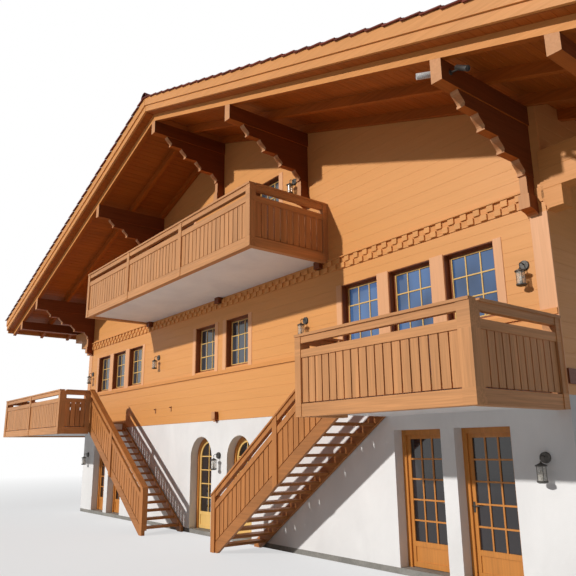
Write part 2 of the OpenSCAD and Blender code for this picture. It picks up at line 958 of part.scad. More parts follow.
// Outline of one console in Y and Z, from the wall out, hung from the underside of a purlin.
// Each stacked beam ends in a carved front, round above and hollow below, over a small lip.
function console_front(k) = [
    for (a = [0:22.5:180])
        [
            -console_reach[k] + (console_lean + console_lip_out) * (1 - cos(a)) / 2,
            -k * console_beam_h - (console_beam_h - console_lip_h) * a / 180
        ]
];

function console_outline() = concat(
    [[0, 0]],
    [for (k = [0:len(console_reach) - 1])
        for (p = concat(
            console_front(k),
            [
                [-console_reach[k] + console_lean, -(k + 1) * console_beam_h + console_lip_h],
                [-console_reach[k] + console_lean, -(k + 1) * console_beam_h]
            ]
        )) p],
    [[0, -console_h]]
);

module console_at(k) {
    translate([purlin_x[k], 0, rake(purlin_x[k]) - rafter_h - purlin_drop[k]])
        along_x([-console_w / 2, console_w / 2])
            polygon(console_outline());
}

// Outline of the foot of a post in Y and Z: a hollow that runs from the block's front to the wall
function post_foot(depth) = concat(
    [[0, 0], [-depth, 0]],
    [
        for (a = [0:15:90])
            [
                -depth + (depth - console_foot_edge) * sin(a),
                -console_foot_edge - (console_foot_h - console_foot_edge) * (1 - cos(a))
            ]
    ],
    [[0, -console_foot_h]]
);

module console_post_at(k) {
    top = rake(purlin_x[k]) - rafter_h - purlin_drop[k] - console_h;
    block = console_post_w / 2 + console_block_out;
    depth = console_post_d + console_block_out;
    translate([purlin_x[k], 0, top]) {
        box([-console_post_w / 2, console_post_w / 2], [-console_post_d, 0], [-console_post_h, 0]);
        box([-block, block], [-depth, 0], [-console_post_h - console_block_h, -console_post_h]);
        translate([0, 0, -console_post_h - console_block_h])
            along_x([-block, block])
                polygon(post_foot(depth));
    }
}

module at_each_console() {
    at_both_gables() {
        children(0);
        both_sides()
            children([1, 2]);
    }
}

module consoles() {
    color("maroon")
        at_each_console() {
            console_at(0);
            console_at(1);
            console_at(2);
        }
}

module console_posts() {
    color("sandybrown")
        at_each_console() {
            console_post_at(0);
            console_post_at(1);
            console_post_at(2);
        }
}

// The ends of the front and back wall beams, stacked under the eave purlins
module corner_corbels() {
    n = len(corbel_reach);
    color("sandybrown")
        at_both_gables()
            both_sides()
                for (k = [0:n - 1])
                    translate([0, 0, eave_purlin_z - (n - k) * corbel_beam_h])
                        box([half_w, half_w + corbel_reach[k]], [0, wall_t], [0, corbel_beam_h]);
}

// Balconies

// One straight balustrade along X from zero, its outer face at zero and its inside towards +Y.
// ends gives the widths of the posts at its two ends, zero where another balustrade's post stands.
module balustrade(length, bays, depth, ends) {
    bay = length / bays;
    rail_z = rail_h - top_rail_h;
    mid_z = rail_z - slot_h - mid_rail_h;
    board_foot = fascia_h + board_foot_gap;
    board_y = rail_recess + board_recess;
    box([0, length], [rail_recess, depth], [0, fascia_h]);
    box([0, length], [rail_recess, rail_recess + rail_t], [mid_z, mid_z + mid_rail_h]);
    box([0, length], [rail_recess, rail_recess + top_rail_w], [rail_z, rail_h]);
    box([0, length], [-cap_out, cap_w - cap_out], [rail_h - cap_t, rail_h]);
    box([0, length], [board_y + board_t, board_y + board_t + backing_t],
        [board_foot + backing_lift, board_foot + backing_lift + backing_h]);
    for (k = [0:bays - 1])
        board_row([
            k == 0 ? ends[0] : k * bay + post_w / 2,
            k == bays - 1 ? length - ends[1] : (k + 1) * bay - post_w / 2
        ], [board_y, board_y + board_t], [board_foot, mid_z + cut]);
    if (ends[0] > 0)
        box([0, ends[0]], [0, depth], [0, rail_h - cap_t]);
    if (ends[1] > 0)
        box([length - ends[1], length], [0, depth], [0, rail_h - cap_t]);
    if (bays > 1)
        for (k = [1:bays - 1])
            box([k * bay - post_w / 2, k * bay + post_w / 2], [0, post_w], [0, rail_h - cap_t]);
}

// Upright boards spread evenly between two posts
module board_row(x, y, z) {
    n = ceil((x[1] - x[0]) / board_pitch);
    pitch = (x[1] - x[0]) / n;
    for (k = [0:n - 1])
        box([x[0] + k * pitch + board_gap / 2, x[0] + (k + 1) * pitch - board_gap / 2], y, z);
}

module upper_front_balustrade() {
    color("peru")
        at_front()
            translate([-upper_half_w, -upper_d, upper_fascia_z])
                balustrade(2 * upper_half_w, upper_bays, post_w, [post_w, post_w]);
}

// A side balustrade runs from behind its corner post to the wall
module side_balustrade(x, depth, corner, z) {
    translate([x, -depth + corner, z])
        rotate([0, 0, 90])
            balustrade(depth - corner, 1, corner, [0, post_w]);
}

module upper_side_balustrades() {
    color("peru")
        at_front()
            both_sides()
                side_balustrade(upper_half_w, upper_d, post_w, upper_fascia_z);
}

// Each slab reaches the end of its flight beside the inner balustrade
module balcony_slabs() {
    c = corner_post_w;
    x = lower_inner_x;
    landing = -stair_w - stair_wall_gap;
    inner = [[x, 0], [x, landing], [x + c, landing], [x + c, -lower_d + c]];
    color("white")
        at_front() {
            box([-upper_half_w + post_w, upper_half_w - post_w], [-upper_d + post_w, 0],
                [upper_floor_z - balcony_t, upper_floor_z]);
            translate([0, 0, first_floor_z - balcony_t])
                linear_extrude(balcony_t) {
                    polygon(concat(inner, [[half_w - c, -lower_d + c], [half_w - c, 0]]));
                    mirror([1, 0])
                        polygon(concat(inner, [
                            [half_w + left_past - c, -lower_d + c], [half_w + left_past - c, left_return - c],
                            [half_w, left_return - c], [half_w, 0]
                        ]));
                }
        }
}

// The balustrades along the front, and the one across the back end of the left balcony
module lower_front_balustrades() {
    c = corner_post_w;
    color("peru")
        at_front() {
            translate([lower_inner_x, -lower_d, lower_fascia_z])
                balustrade(half_w - lower_inner_x, 1, c, [post_w, c]);
            translate([-half_w - left_past, -lower_d, lower_fascia_z])
                balustrade(half_w + left_past - lower_inner_x, 2, c, [c, post_w]);
            translate([-half_w, left_return, lower_fascia_z])
                rotate([0, 0, 180])
                    balustrade(left_past, 1, c, [post_w, c]);
        }
}

// The inner ends stop beside the stairs, and the left balcony's outer side runs past the house
module lower_side_balustrades() {
    c = corner_post_w;
    inner_l = lower_d - c - stair_w - stair_wall_gap;
    outer_l = lower_d + left_return - 2 * c;
    color("peru")
        at_front() {
            side_balustrade(half_w, lower_d, c, lower_fascia_z);
            translate([-lower_inner_x, -lower_d + c, lower_fascia_z])
                rotate([0, 0, 90])
                    balustrade(inner_l, 1, c, [0, post_w]);
            translate([lower_inner_x, -lower_d + c + inner_l, lower_fascia_z])
                rotate([0, 0, -90])
                    balustrade(inner_l, 1, c, [post_w, 0]);
            translate([-half_w - left_past, -lower_d + c + outer_l, lower_fascia_z])
                rotate([0, 0, -90])
                    balustrade(outer_l, 2, c, [0, 0]);
        }
}

// Stairs

// Height of the line of the steps above the ground at an X in the right flight
function step_line(x) = (x - stair_foot_x) * stair_slope + riser;

module treads_of_flight() {
    y = [-stair_wall_gap - stair_w + stringer_t, -stair_wall_gap - stringer_t];
    for (k = [1:riser_n - 1])
        box([stair_foot_x + (k - 1) * step_run, min(stair_foot_x + k * step_run + tread_lap, lower_inner_x)],
            y, [k * riser - tread_t, k * riser]);
}

module stair_treads() {
    color("saddlebrown")
        at_front()
            both_sides()
                treads_of_flight();
}

// Outline of a sloping piece of the flight in X and Z, cut upright at its ends and level at the ground
module sloping_outline(x, below, above) {
    polygon([
        [x[0], max(0, step_line(x[0]) - below)], [x[1], step_line(x[1]) - below],
        [x[1], step_line(x[1]) + above], [x[0], step_line(x[0]) + above]
    ]);
}

module stringer() {
    level = stringer_h - stringer_drop;
    foot = stair_foot_x - step_run / 2;
    ground_x = stair_foot_x + (stringer_drop - riser) / stair_slope;
    polygon([
        [foot, 0], [ground_x, 0],
        [lower_inner_x, step_line(lower_inner_x) - stringer_drop],
        [lower_inner_x, step_line(lower_inner_x) + level],
        [foot, step_line(foot) + level]
    ]);
}

module stair_stringers() {
    outer = -stair_wall_gap - stair_w;
    color("sienna")
        at_front()
            both_sides() {
                along_y([outer, outer + stringer_t])
                    stringer();
                along_y([-stair_wall_gap - stringer_t, -stair_wall_gap])
                    stringer();
            }
}

// A newel stands on the stringer, and its outer face runs down in front of it
module newel(x, foot) {
    outer = -stair_wall_gap - stair_w;
    head = stair_rail_h - cap_t;
    seat = stringer_h - stringer_drop + seat_gap;
    along_y([outer - newel_out, outer])
        sloping_outline([x, x + post_w], foot, head);
    along_y([outer - newel_out, outer - newel_out + post_w])
        sloping_outline([x, x + post_w], -seat, head);
}

// Newels, top rail with its cap, middle rail, boards and their backing rail beside one flight
module stair_balustrade() {
    foot = stair_foot_x - step_run / 2;
    mid = lower_inner_x - newel_mid_x;
    x = [foot, lower_inner_x];
    top_x = [foot, lower_inner_x - cap_out - seat_gap];
    rail = stair_rail_h - top_rail_h;
    mid_top = rail - slot_h;
    face = -stair_wall_gap - stair_w - newel_out + rail_recess;
    board_y = face + board_recess;
    board_foot = stringer_h - stringer_drop + board_foot_gap;
    along_y([face, face + top_rail_w])
        sloping_outline(top_x, -rail, stair_rail_h);
    along_y([face - rail_recess - cap_out, face - rail_recess - cap_out + cap_w])
        sloping_outline(top_x, cap_t - stair_rail_h, stair_rail_h);
    along_y([face, face + rail_t])
        sloping_outline(x, mid_rail_h - mid_top, mid_top);
    along_y([board_y + board_t, board_y + board_t + backing_t])
        sloping_outline([foot + post_w, lower_inner_x],
            -board_foot - backing_lift, board_foot + backing_lift + backing_h);
    for (span = [[foot + post_w, mid], [mid + post_w, lower_inner_x]]) {
        n = ceil((span[1] - span[0]) / board_pitch);
        pitch = (span[1] - span[0]) / n;
        along_y([board_y, board_y + board_t])
            for (k = [0:n - 1])
                sloping_outline([
                    span[0] + k * pitch + board_gap / 2, span[0] + (k + 1) * pitch - board_gap / 2
                ], -board_foot, mid_top - mid_rail_h + cut);
    }
    newel(foot, step_line(foot + post_w));
    newel(mid, stringer_drop);
}

module stair_balustrades() {
    color("peru")
        at_front()
            both_sides()
                stair_balustrade();
}

// Mouldings on the front wall

module wall_mouldings() {
    color("sandybrown")
        at_front() {
            difference() {
                box([-half_w, half_w], [-sill_band_d, 0], [sill_band_z, sill_band_z + sill_band_h]);
                translate([window_group_x, 0, sill_band_z + sill_band_h / 2])
                    cube([window_w, 2 * sill_band_d + cut, sill_band_h + cut], center = true);
            }
            difference() {
                box([-half_w, half_w], [-frieze_d, 0], [frieze_z, frieze_z + frieze_h]);
                both_sides()
                    console_post_at(2);
                translate([-upper_half_w, -frieze_d - cut, upper_fascia_z])
                    cube([2 * upper_half_w, frieze_d + 2 * cut, frieze_h]);
                bearers_of_balcony();
            }
        }
}

// Beam ends that carry the upper balcony's slab at the wall
module bearers_of_balcony() {
    end_x = upper_half_w - post_w - bearer[0] / 2;
    for (x = [-end_x, 0, end_x])
        box([x - bearer[0] / 2, x + bearer[0] / 2], [-bearer_out, 0],
            [upper_floor_z - balcony_t - bearer[1], upper_floor_z - balcony_t]);
}

// Beams along the foot of the timber side walls, and the bearers under the upper balcony
module sill_and_bearer_beams() {
    color("saddlebrown") {
        difference() {
            both_sides()
                box([half_w, half_w + sill_beam_d], [-half_d, half_d],
                    [side_base_top_z, side_base_top_z + sill_beam_h]);
            box([-half_w - post_w, -half_w + cut],
                [left_return - half_d - corner_post_w, left_return - half_d],
                [side_base_top_z - cut, side_base_top_z + sill_beam_h + cut]);
        }
        at_front()
            bearers_of_balcony();
    }
}

// Lanterns

// A lantern hangs from an arm on a round wall plate; the plate's middle is at zero
module lantern() {
    roof_top = -lantern_plate_r / 2;
    glass_top = roof_top - lantern_roof_h;
    foot_top = glass_top - lantern_glass_h;
    rotate([90, 0, 0]) {
        cylinder(r = lantern_plate_r, h = lantern_plate_t);
        cylinder(r = lantern_arm_r, h = lantern_reach);
    }
    translate([0, -lantern_reach, 0]) {
        translate([0, 0, foot_top])
            cylinder(r = lantern_glass_r, h = lantern_glass_h);
        translate([0, 0, foot_top - lantern_foot_h])
            cylinder(r = lantern_roof_r, h = lantern_foot_h);
        translate([0, 0, glass_top])
            cylinder(r1 = lantern_roof_r, r2 = lantern_rod_r, h = lantern_roof_h);
        translate([0, 0, roof_top])
            cylinder(r = lantern_rod_r, h = lantern_rod_r - roof_top);
    }
}

module wall_lanterns() {
    places = [
        [lantern_outer_x, lantern_z[0]],
        [lantern_outer_x, lantern_z[1]], [lantern_inner_x, lantern_z[1]],
        [lantern_gable_x, lantern_z[2]]
    ];
    color("dimgray")
        at_front() {
            translate([0, 0, lantern_z[0]])
                lantern();
            both_sides()
                for (p = places)
                    translate([p[0], 0, p[1]])
                        lantern();
        }
}

ground_slab();
front_base_piers();
front_base_lintels();
side_base_walls();
back_base_wall();
door_frames();
right_outer_door();
right_outer_glass();
right_inner_door();
right_inner_glass();
left_outer_door();
left_outer_glass();
left_inner_door();
left_inner_glass();
right_arched_door();
right_arched_glass();
left_arched_door();
left_arched_glass();
floors();
front_wall();
back_wall();
side_walls();
gable_walls();
window_frames();
window_glass();
purlins();
rafters();
roof_left();
roof_right();
verge_boards();
eave_boards();
consoles();
console_posts();
corner_corbels();
upper_front_balustrade();
upper_side_balustrades();
balcony_slabs();
lower_front_balustrades();
lower_side_balustrades();
stair_treads();
stair_stringers();
stair_balustrades();
wall_mouldings();
sill_and_bearer_beams();
wall_lanterns();
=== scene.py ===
import math

import bpy
from mathutils import Matrix, Vector


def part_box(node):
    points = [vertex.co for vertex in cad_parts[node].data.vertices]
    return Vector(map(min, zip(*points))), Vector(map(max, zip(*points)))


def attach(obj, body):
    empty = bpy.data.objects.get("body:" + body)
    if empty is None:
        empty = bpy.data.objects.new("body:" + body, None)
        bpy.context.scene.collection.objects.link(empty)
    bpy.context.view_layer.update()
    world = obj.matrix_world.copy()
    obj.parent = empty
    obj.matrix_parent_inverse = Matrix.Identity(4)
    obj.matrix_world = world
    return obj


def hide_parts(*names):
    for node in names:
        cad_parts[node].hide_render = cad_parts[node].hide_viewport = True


bl_info = {
    "name": "Alpine chalet",
    "version": (1, 0, 0),
    "blender": (4, 5, 0),
    "location": "View3D > Sidebar > Chalet",
    "description": "Dresses the chalet with tiles, boards, glazing bars, lanterns and finishes",
    "category": "Object",
}

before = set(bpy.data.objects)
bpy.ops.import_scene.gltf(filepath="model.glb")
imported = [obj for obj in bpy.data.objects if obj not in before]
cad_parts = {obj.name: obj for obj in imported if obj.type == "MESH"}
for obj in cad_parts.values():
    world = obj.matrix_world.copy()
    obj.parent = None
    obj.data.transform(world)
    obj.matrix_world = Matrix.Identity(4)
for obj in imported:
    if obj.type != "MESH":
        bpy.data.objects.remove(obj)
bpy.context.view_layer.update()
HOUSE = "house"


# Places of the house, most of them read from the frame

GROUND_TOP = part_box("ground_slab")[1].z
HALF_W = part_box("front_wall")[1].x
FRONT_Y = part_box("front_wall")[0].y
BACK_Y = -FRONT_Y
WOOD_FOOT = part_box("front_wall")[0].z
SIDE_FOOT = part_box("side_walls")[0].z
FIRST_FLOOR = 2.82
UPPER_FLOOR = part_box("gable_walls")[0].z

EAVE_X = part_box("roof_right")[1].x
EAVE_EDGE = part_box("eave_boards")[1].x
DECK_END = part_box("roof_right")[1].y
ROOF_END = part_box("verge_boards")[1].y
RIDGE_ROW = 0.11
DECK = 0.35
ROOF_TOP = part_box("roof_right")[1].z - RIDGE_ROW
RIDGE = ROOF_TOP - DECK
PITCH = math.atan2(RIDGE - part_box("roof_right")[0].z, EAVE_X)

WINDOW_W, WINDOW_H, WINDOW_SILL = 0.97, 1.2, 3.99
WINDOW_HALF = WINDOW_W / 2
WINDOW_HEAD = WINDOW_SILL + WINDOW_H
GROUP_MIDDLE, GROUP_STEP = 6.28, 1.263
GROUP_X = [GROUP_MIDDLE + k * GROUP_STEP for k in (-1, 0, 1)]
MIDDLE_X = 0.754
GABLE_DOOR_X, GABLE_DOOR_H = 2.01, 2.29
GABLE_SILL = 0.9
SIDE_BAY = 1.3
SIDE_WINDOWS = [SIDE_BAY + FRONT_Y + k * 2 * (BACK_Y - SIDE_BAY) / 3 for k in range(4)]
HINGE_SIDE = {
    "right_outer": 1, "right_inner": -1, "left_outer": -1, "left_inner": 1,
    "right_arched": 1, "left_arched": -1,
}
DECKS = [
    (UPPER_FLOOR, (-4.03, -7.365), (4.03, -5.52)),
    (FIRST_FLOOR, (5.805, -7.395), (8.765, -5.52)),
    (FIRST_FLOOR, (5.605, -6.655), (5.8, -5.52)),
    (FIRST_FLOOR, (-11.295, -7.395), (-5.805, -5.52)),
    (FIRST_FLOOR, (-5.8, -6.655), (-5.605, -5.52)),
    (FIRST_FLOOR, (-11.295, -5.515), (-8.99, -2.705)),
]
CORBEL_BEAM_H = 0.315
CORBEL_REACH = (0.28, 0.88, 1.56)
FRIEZE_LOW, FRIEZE_HIGH, FRIEZE_DEPTH = 5.56, 5.79, 0.03
LANTERN_PLACES = [
    (0, 1.885), (8.53, 1.885), (-8.53, 1.885), (8.53, 4.66), (-8.53, 4.66),
    (3.4, 4.66), (-3.4, 4.66), (3.09, 7.95), (-3.09, 7.95),
]
PEG_PLACES = [(-3.48, 3.12), (-2.53, 3.13)]

# Depth by which a piece sinks into its seat, and a hair's breadth to sink in or to keep clear
SEAT, HAIR = 0.004, 0.002
DOWN = (0, 0, -1)
UP = (0, 0, 1)


# Modelling steps

def focus(*pieces):
    """Select these objects and nothing else, the first of them active."""
    bpy.ops.object.select_all(action="DESELECT")
    for piece in pieces:
        piece.select_set(True)
    if pieces:
        bpy.context.view_layer.objects.active = pieces[0]


def settle(piece, place=None, turn=None, size=None):
    """Give a piece a new place, turn or size where one is named, and put them into its mesh."""
    piece.location = place or piece.location
    piece.rotation_euler = turn or piece.rotation_euler
    piece.scale = size or piece.scale
    focus(piece)
    bpy.ops.object.transform_apply(location=True, rotation=True, scale=True)
    return piece


def apply_modifier(piece, kind, **settings):
    focus(piece)
    modifier = piece.modifiers.new("step", kind)
    for key, value in settings.items():
        setattr(modifier, key, value)
    bpy.ops.object.modifier_apply(modifier=modifier.name)
    return piece


def chamfer(piece, width, segments=1, angle=30):
    return apply_modifier(piece, "BEVEL", width=width, segments=segments, limit_method="ANGLE",
                          angle_limit=math.radians(angle))


def array(piece, count, step):
    return apply_modifier(piece, "ARRAY", count=count, use_relative_offset=False,
                          use_constant_offset=True, constant_offset_displace=step)


def block(corner, opposite, edge=0.0, segments=1):
    """A box between two opposite corners, with this much taken off its edges."""
    corner, opposite = Vector(corner), Vector(opposite)
    focus()
    bpy.ops.mesh.primitive_cube_add(size=1, location=(corner + opposite) / 2,
                                    scale=[abs(side) for side in opposite - corner])
    piece = settle(bpy.context.object)
    return chamfer(piece, edge, segments) if edge else piece


def rod(start, end, radius, sides, end_radius=None):
    """A round bar, or a cone, between two points."""
    start, end = Vector(start), Vector(end)
    focus()
    bpy.ops.mesh.primitive_cone_add(
        vertices=sides, radius1=radius, radius2=radius if end_radius is None else end_radius,
        depth=(end - start).length, location=(start + end) / 2,
        rotation=(end - start).to_track_quat("Z", "Y").to_euler())
    return settle(bpy.context.object)


def open_all(piece):
    """Open a piece for editing with all of it selected."""
    focus(piece)
    bpy.ops.object.mode_set(mode="EDIT")
    bpy.ops.mesh.select_all(action="SELECT")


def open_part(piece, kind, test):
    """Open a piece for editing with only the faces, or vertices, that pass a test selected."""
    focus(piece)
    mesh = piece.data
    bpy.context.tool_settings.mesh_select_mode = (kind == "VERT", False, kind == "FACE")
    for group in (mesh.vertices, mesh.edges, mesh.polygons):
        group.foreach_set("select", [False] * len(group))
    for part in mesh.polygons if kind == "FACE" else mesh.vertices:
        part.select = test(part)
    bpy.ops.object.mode_set(mode="EDIT")


def open_faces(piece, *ways):
    """Open a piece for editing with the faces selected that look one of these ways."""
    open_part(piece, "FACE", lambda face: any(face.normal.dot(Vector(way)) > 0.9 for way in ways))


def close():
    bpy.ops.object.mode_set(mode="OBJECT")


def step_in(thickness, move):
    """Inset the selected faces and move them."""
    bpy.ops.mesh.inset(thickness=thickness)
    bpy.ops.transform.translate(value=move)


def extrude(move):
    bpy.ops.mesh.extrude_region_move(TRANSFORM_OT_translate={"value": move})


def cut_off(piece, point, normal, fill=True):
    """Cut away what lies on the side of a plane that its normal points to, and fill the cut."""
    open_all(piece)
    bpy.ops.mesh.bisect(plane_co=point, plane_no=normal, use_fill=fill, clear_outer=True)
    close()
    return piece


def outward(piece):
    """Merge doubled points and turn all faces outwards."""
    open_all(piece)
    bpy.ops.mesh.remove_doubles(threshold=0.00001)
    bpy.ops.mesh.normals_make_consistent(inside=False)
    close()
    return piece


def join(pieces):
    focus(*pieces)
    if len(pieces) > 1:
        bpy.ops.object.join()
    return pieces[0]


def copy_of(piece, offset=(0, 0, 0), turn=0.0, mirror=False):
    """A copy with its own mesh, moved, turned about Z, or mirrored in X."""
    new = piece.copy()
    new.data = piece.data.copy()
    bpy.context.scene.collection.objects.link(new)
    settle(new, offset, (0, 0, turn), (-1 if mirror else 1, 1, 1))
    return outward(new) if mirror else new


def discard(piece):
    mesh = piece.data
    bpy.data.objects.remove(piece)
    bpy.data.meshes.remove(mesh)


def repeat(piece, places):
    """Copies of a piece at each offset and turn, joined into one."""
    copies = [copy_of(piece, offset, turn) for offset, turn in places]
    discard(piece)
    return join(copies)


def both_sides(piece):
    return join([piece, copy_of(piece, mirror=True)])


def both_ends(piece):
    return join([piece, copy_of(piece, turn=math.pi)])


def take_out(piece, holes):
    """Cut box shaped holes out of a piece."""
    cutter = join([block(low, high) for low, high in holes])
    apply_modifier(piece, "BOOLEAN", operation="DIFFERENCE", solver="EXACT", object=cutter)
    discard(cutter)
    return piece


def complete(piece, name, finish, body=HOUSE, smooth=None):
    """Name a piece, give it its finish and let it ride on its body."""
    focus(piece)
    if smooth:
        bpy.ops.object.shade_smooth_by_angle(angle=math.radians(smooth))
    piece.name = name
    piece.data.name = name
    piece.data.materials.clear()
    piece.data.materials.append(MATERIALS[finish])
    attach(piece, body)
    return piece


# Finishes

MATERIALS = {}


def srgb(red, green, blue):
    """A colour given as it is seen on a screen, as the numbers that a shader takes."""
    def linear(c):
        c /= 255
        return c / 12.92 if c <= 0.04045 else ((c + 0.055) / 1.055) ** 2.4
    return tuple(linear(c) for c in (red, green, blue))


def maths(operation, swapped=False):
    """A method that puts its values, in order or swapped, through one step of arithmetic."""
    def step(self, *others):
        values = (*others, self) if swapped else (self, *others)
        return self.nodes.add("ShaderNodeMath", {"operation": operation}, dict(enumerate(values)))
    return step


class Signal:
    """A shader socket that takes part in plain arithmetic."""

    def __init__(self, nodes, socket):
        self.nodes = nodes
        self.socket = socket

    __add__ = __radd__ = maths("ADD")
    __mul__ = __rmul__ = maths("MULTIPLY")
    __sub__ = maths("SUBTRACT")
    __rsub__ = maths("SUBTRACT", swapped=True)
    __gt__ = maths("GREATER_THAN")
    __lt__ = maths("LESS_THAN")
    absolute = maths("ABSOLUTE")
    either = maths("MAXIMUM")
    both = maths("MINIMUM")


class Nodes:
    """The nodes of a material or of the world, made anew."""

    def __init__(self, tree, output):
        tree.nodes.clear()
        self.tree = tree
        self.output = tree.nodes.new(output)

    def add(self, kind, settings=None, inputs=None, output=0):
        """Add a node with its settings and the values or links of its sockets."""
        made = self.tree.nodes.new(kind)
        for key, value in (settings or {}).items():
            setattr(made, key, value)
        for key, value in (inputs or {}).items():
            socket = made.inputs[key]
            if isinstance(value, Signal):
                self.tree.links.new(value.socket, socket)
            else:
                socket.default_value = (*value, 1) if socket.type == "RGBA" else value
        return Signal(self, made.outputs[output])

    def show(self, shader):
        self.tree.links.new(shader.socket, self.output.inputs[0])

    def in_view(self):
        """One for rays from the camera, also by way of a reflection or through glass, else zero."""
        camera, glossy, clear = (self.add("ShaderNodeLightPath", output=f"Is {ray} Ray")
                                 for ray in ("Camera", "Glossy", "Transmission"))
        return camera + glossy + clear

    def show_whitened(self, lit, kind, factor):
        """Show a lit shader, mixed by a factor with a white one of the kind that lights nothing."""
        white = self.add(kind, {}, {0: (1, 1, 1), 1: 1})
        self.show(self.add("ShaderNodeMixShader", {}, {0: factor, 1: lit, 2: white}))


class Finish(Nodes):
    """A procedural material that is being made."""

    def __init__(self, name, constants):
        material = MATERIALS[name] = bpy.data.materials.new(name)
        material.use_nodes = True
        super().__init__(material.node_tree, "ShaderNodeOutputMaterial")
        self.shader = self.add("ShaderNodeBsdfPrincipled", {}, constants)
        self.show(self.shader)
        self.place = self.add("ShaderNodeTexCoord", output="Object")

    def feed(self, name, value):
        """Connect a varying value to one of the shader's own sockets."""
        self.tree.links.new(value.socket, self.shader.socket.node.inputs[name])

    def mix(self, factor, first, second):
        return self.add("ShaderNodeMix", {"data_type": "RGBA"}, {0: factor, 6: first, 7: second}, 2)

    def mix_numbers(self, factor, first, second):
        return self.add("ShaderNodeMix", {"data_type": "FLOAT"}, {0: factor, 2: first, 3: second})

    def shaded(self, tone, colour, down, up):
        """A colour that rises with the tone from a darker to a lighter shade of itself."""
        return self.mix(tone, tuple(c * down for c in colour), tuple(min(1.0, c * up) for c in colour))

    def axis(self, letter, vector=None):
        return self.add("ShaderNodeSeparateXYZ", {}, {0: vector or self.place}, "XYZ".index(letter))

    def facing(self, letter):
        """How much a face looks along an axis of the house, from -1 to 1."""
        return self.axis(letter, self.add("ShaderNodeNewGeometry", output="Normal"))

    def piece_random(self):
        """A number that differs from one closed piece of the mesh to the next."""
        return self.add("ShaderNodeNewGeometry", output="Random Per Island")

    def noise(self, scale, detail=3.0, roughness=0.5, distortion=0.0):
        """Noise of one scale, or of a scale for each axis."""
        vector = self.place
        if isinstance(scale, tuple):
            vector = self.add("ShaderNodeMapping", {}, {"Vector": vector, "Scale": scale})
            scale = 1.0
        return self.add("ShaderNodeTexNoise", {}, {
            "Vector": vector, "Scale": scale, "Detail": detail,
            "Roughness": roughness, "Distortion": distortion})

    def spread(self, value, low, high, to_low=0.0, to_high=1.0):
        return self.add("ShaderNodeMapRange", {}, {0: value, 1: low, 2: high, 3: to_low, 4: to_high})

    def bump(self, height, distance):
        self.feed("Normal", self.add("ShaderNodeBump", {}, {
            "Height": height, "Distance": distance, "Strength": 1.0}))

    def dress(self, colour, marks, roughness, relief, ends=(0.2, 0.8)):
        """Colour the surface, and let the same marks change its roughness and relief."""
        self.feed("Base Color", colour)
        self.feed("Roughness", self.spread(marks, *ends, *roughness))
        self.bump(marks, relief)


FINE_GRAIN, SLOW_GRAIN = (34.0, 1.1), (2.6, 0.25)
BOARD_CELLS = (6.0, 6.0, 0.15)


def grain(finish, along):
    """Fine streaks and slow clouds of wood that runs along an axis."""
    fine, slow = (tuple(lengthwise if letter == along else across for letter in "XYZ")
                  for across, lengthwise in (FINE_GRAIN, SLOW_GRAIN))
    return finish.noise(fine, 5.0, 0.62, 0.35), finish.noise(slow, 3.0, 0.5, 0.8)


def wood(name, colour, down, up, along, contrast=1.0, islands=0.0, roughness=0.5,
         relief=0.0015, crest=None):
    """Stained wood with its grain along one axis, under a crest of another colour."""
    finish = Finish(name, {"Specular IOR Level": 0.35})
    streaks, clouds = grain(finish, along)
    reach = 0.22 / contrast
    tone = finish.spread(streaks * 0.6 + clouds * 0.4, 0.5 - reach, 0.5 + reach)
    if islands:
        tone = finish.spread(tone + (finish.piece_random() - 0.5) * islands, 0.0, 1.0)
    shown = finish.shaded(tone, colour, down, up)
    if crest:
        shown = finish.mix(finish.axis("Z") > ROOF_TOP - 0.05, shown, crest)
    finish.dress(shown, streaks, (roughness + 0.12, roughness - 0.08), relief)


def roof_timber(name, colour, face, under, along, painted_light_beyond=0.0):
    """Stained beams, lighter below as painted bounce light, and lighter on faces that look to the front or
    back, beyond a given distance from the house's middle, as painted sunlight.
    """
    finish = Finish(name, {"Specular IOR Level": 0.3})
    streaks, clouds = grain(finish, along)
    tone = finish.spread(streaks * 0.6 + clouds * 0.4, 0.3, 0.7)
    # Painted sunlight: faces that look to the front or back, beyond the given distance from the middle, take
    # the lighter face colour
    out = finish.spread(finish.facing("Y").absolute(), 0.45, 0.8) * (finish.axis("Y").absolute() > painted_light_beyond)
    # Painted bounce light: faces that look down take the lighter colour given for undersides
    below = finish.spread(finish.facing("Z"), -0.5, -0.8)
    stained, painted_bounce_light = finish.shaded(tone, colour, 0.68, 1.2), finish.shaded(tone, under, 0.75, 1.15)
    painted_sunlight = finish.shaded(tone, face, 0.82, 1.08)
    shown = finish.mix(out, finish.mix(below, stained, painted_bounce_light), painted_sunlight)
    finish.dress(shown, streaks, (0.7, 0.5), 0.002)


def balustrade_wood(name, colour, rail_axis, low, high):
    """Upright grain in the boards between two heights, and level grain in the rails."""
    finish = Finish(name, {"Specular IOR Level": 0.35})
    upright, _ = grain(finish, "Z")
    level, clouds = grain(finish, rail_axis)
    z = finish.axis("Z")
    inside = (z > low).both(z < high)
    streaks = finish.mix_numbers(inside, level, upright)
    clouds = finish.mix_numbers(inside, clouds, finish.noise(BOARD_CELLS, 1.0))
    tone = finish.spread(streaks * 0.55 + clouds * 0.45, 0.3, 0.7)
    finish.dress(finish.shaded(tone, colour, 0.62, 1.22), streaks, (0.65, 0.45), 0.0015)


def stair_wood(name, colour):
    """Upright grain, with a tone that changes from board to board."""
    finish = Finish(name, {"Specular IOR Level": 0.35})
    streaks, clouds = grain(finish, "Z")
    cells = finish.noise(BOARD_CELLS, 1.0)
    tone = finish.spread(streaks * 0.5 + cells * 0.3 + clouds * 0.2, 0.3, 0.7)
    finish.dress(finish.shaded(tone, colour, 0.62, 1.22), streaks, (0.65, 0.45), 0.0015)


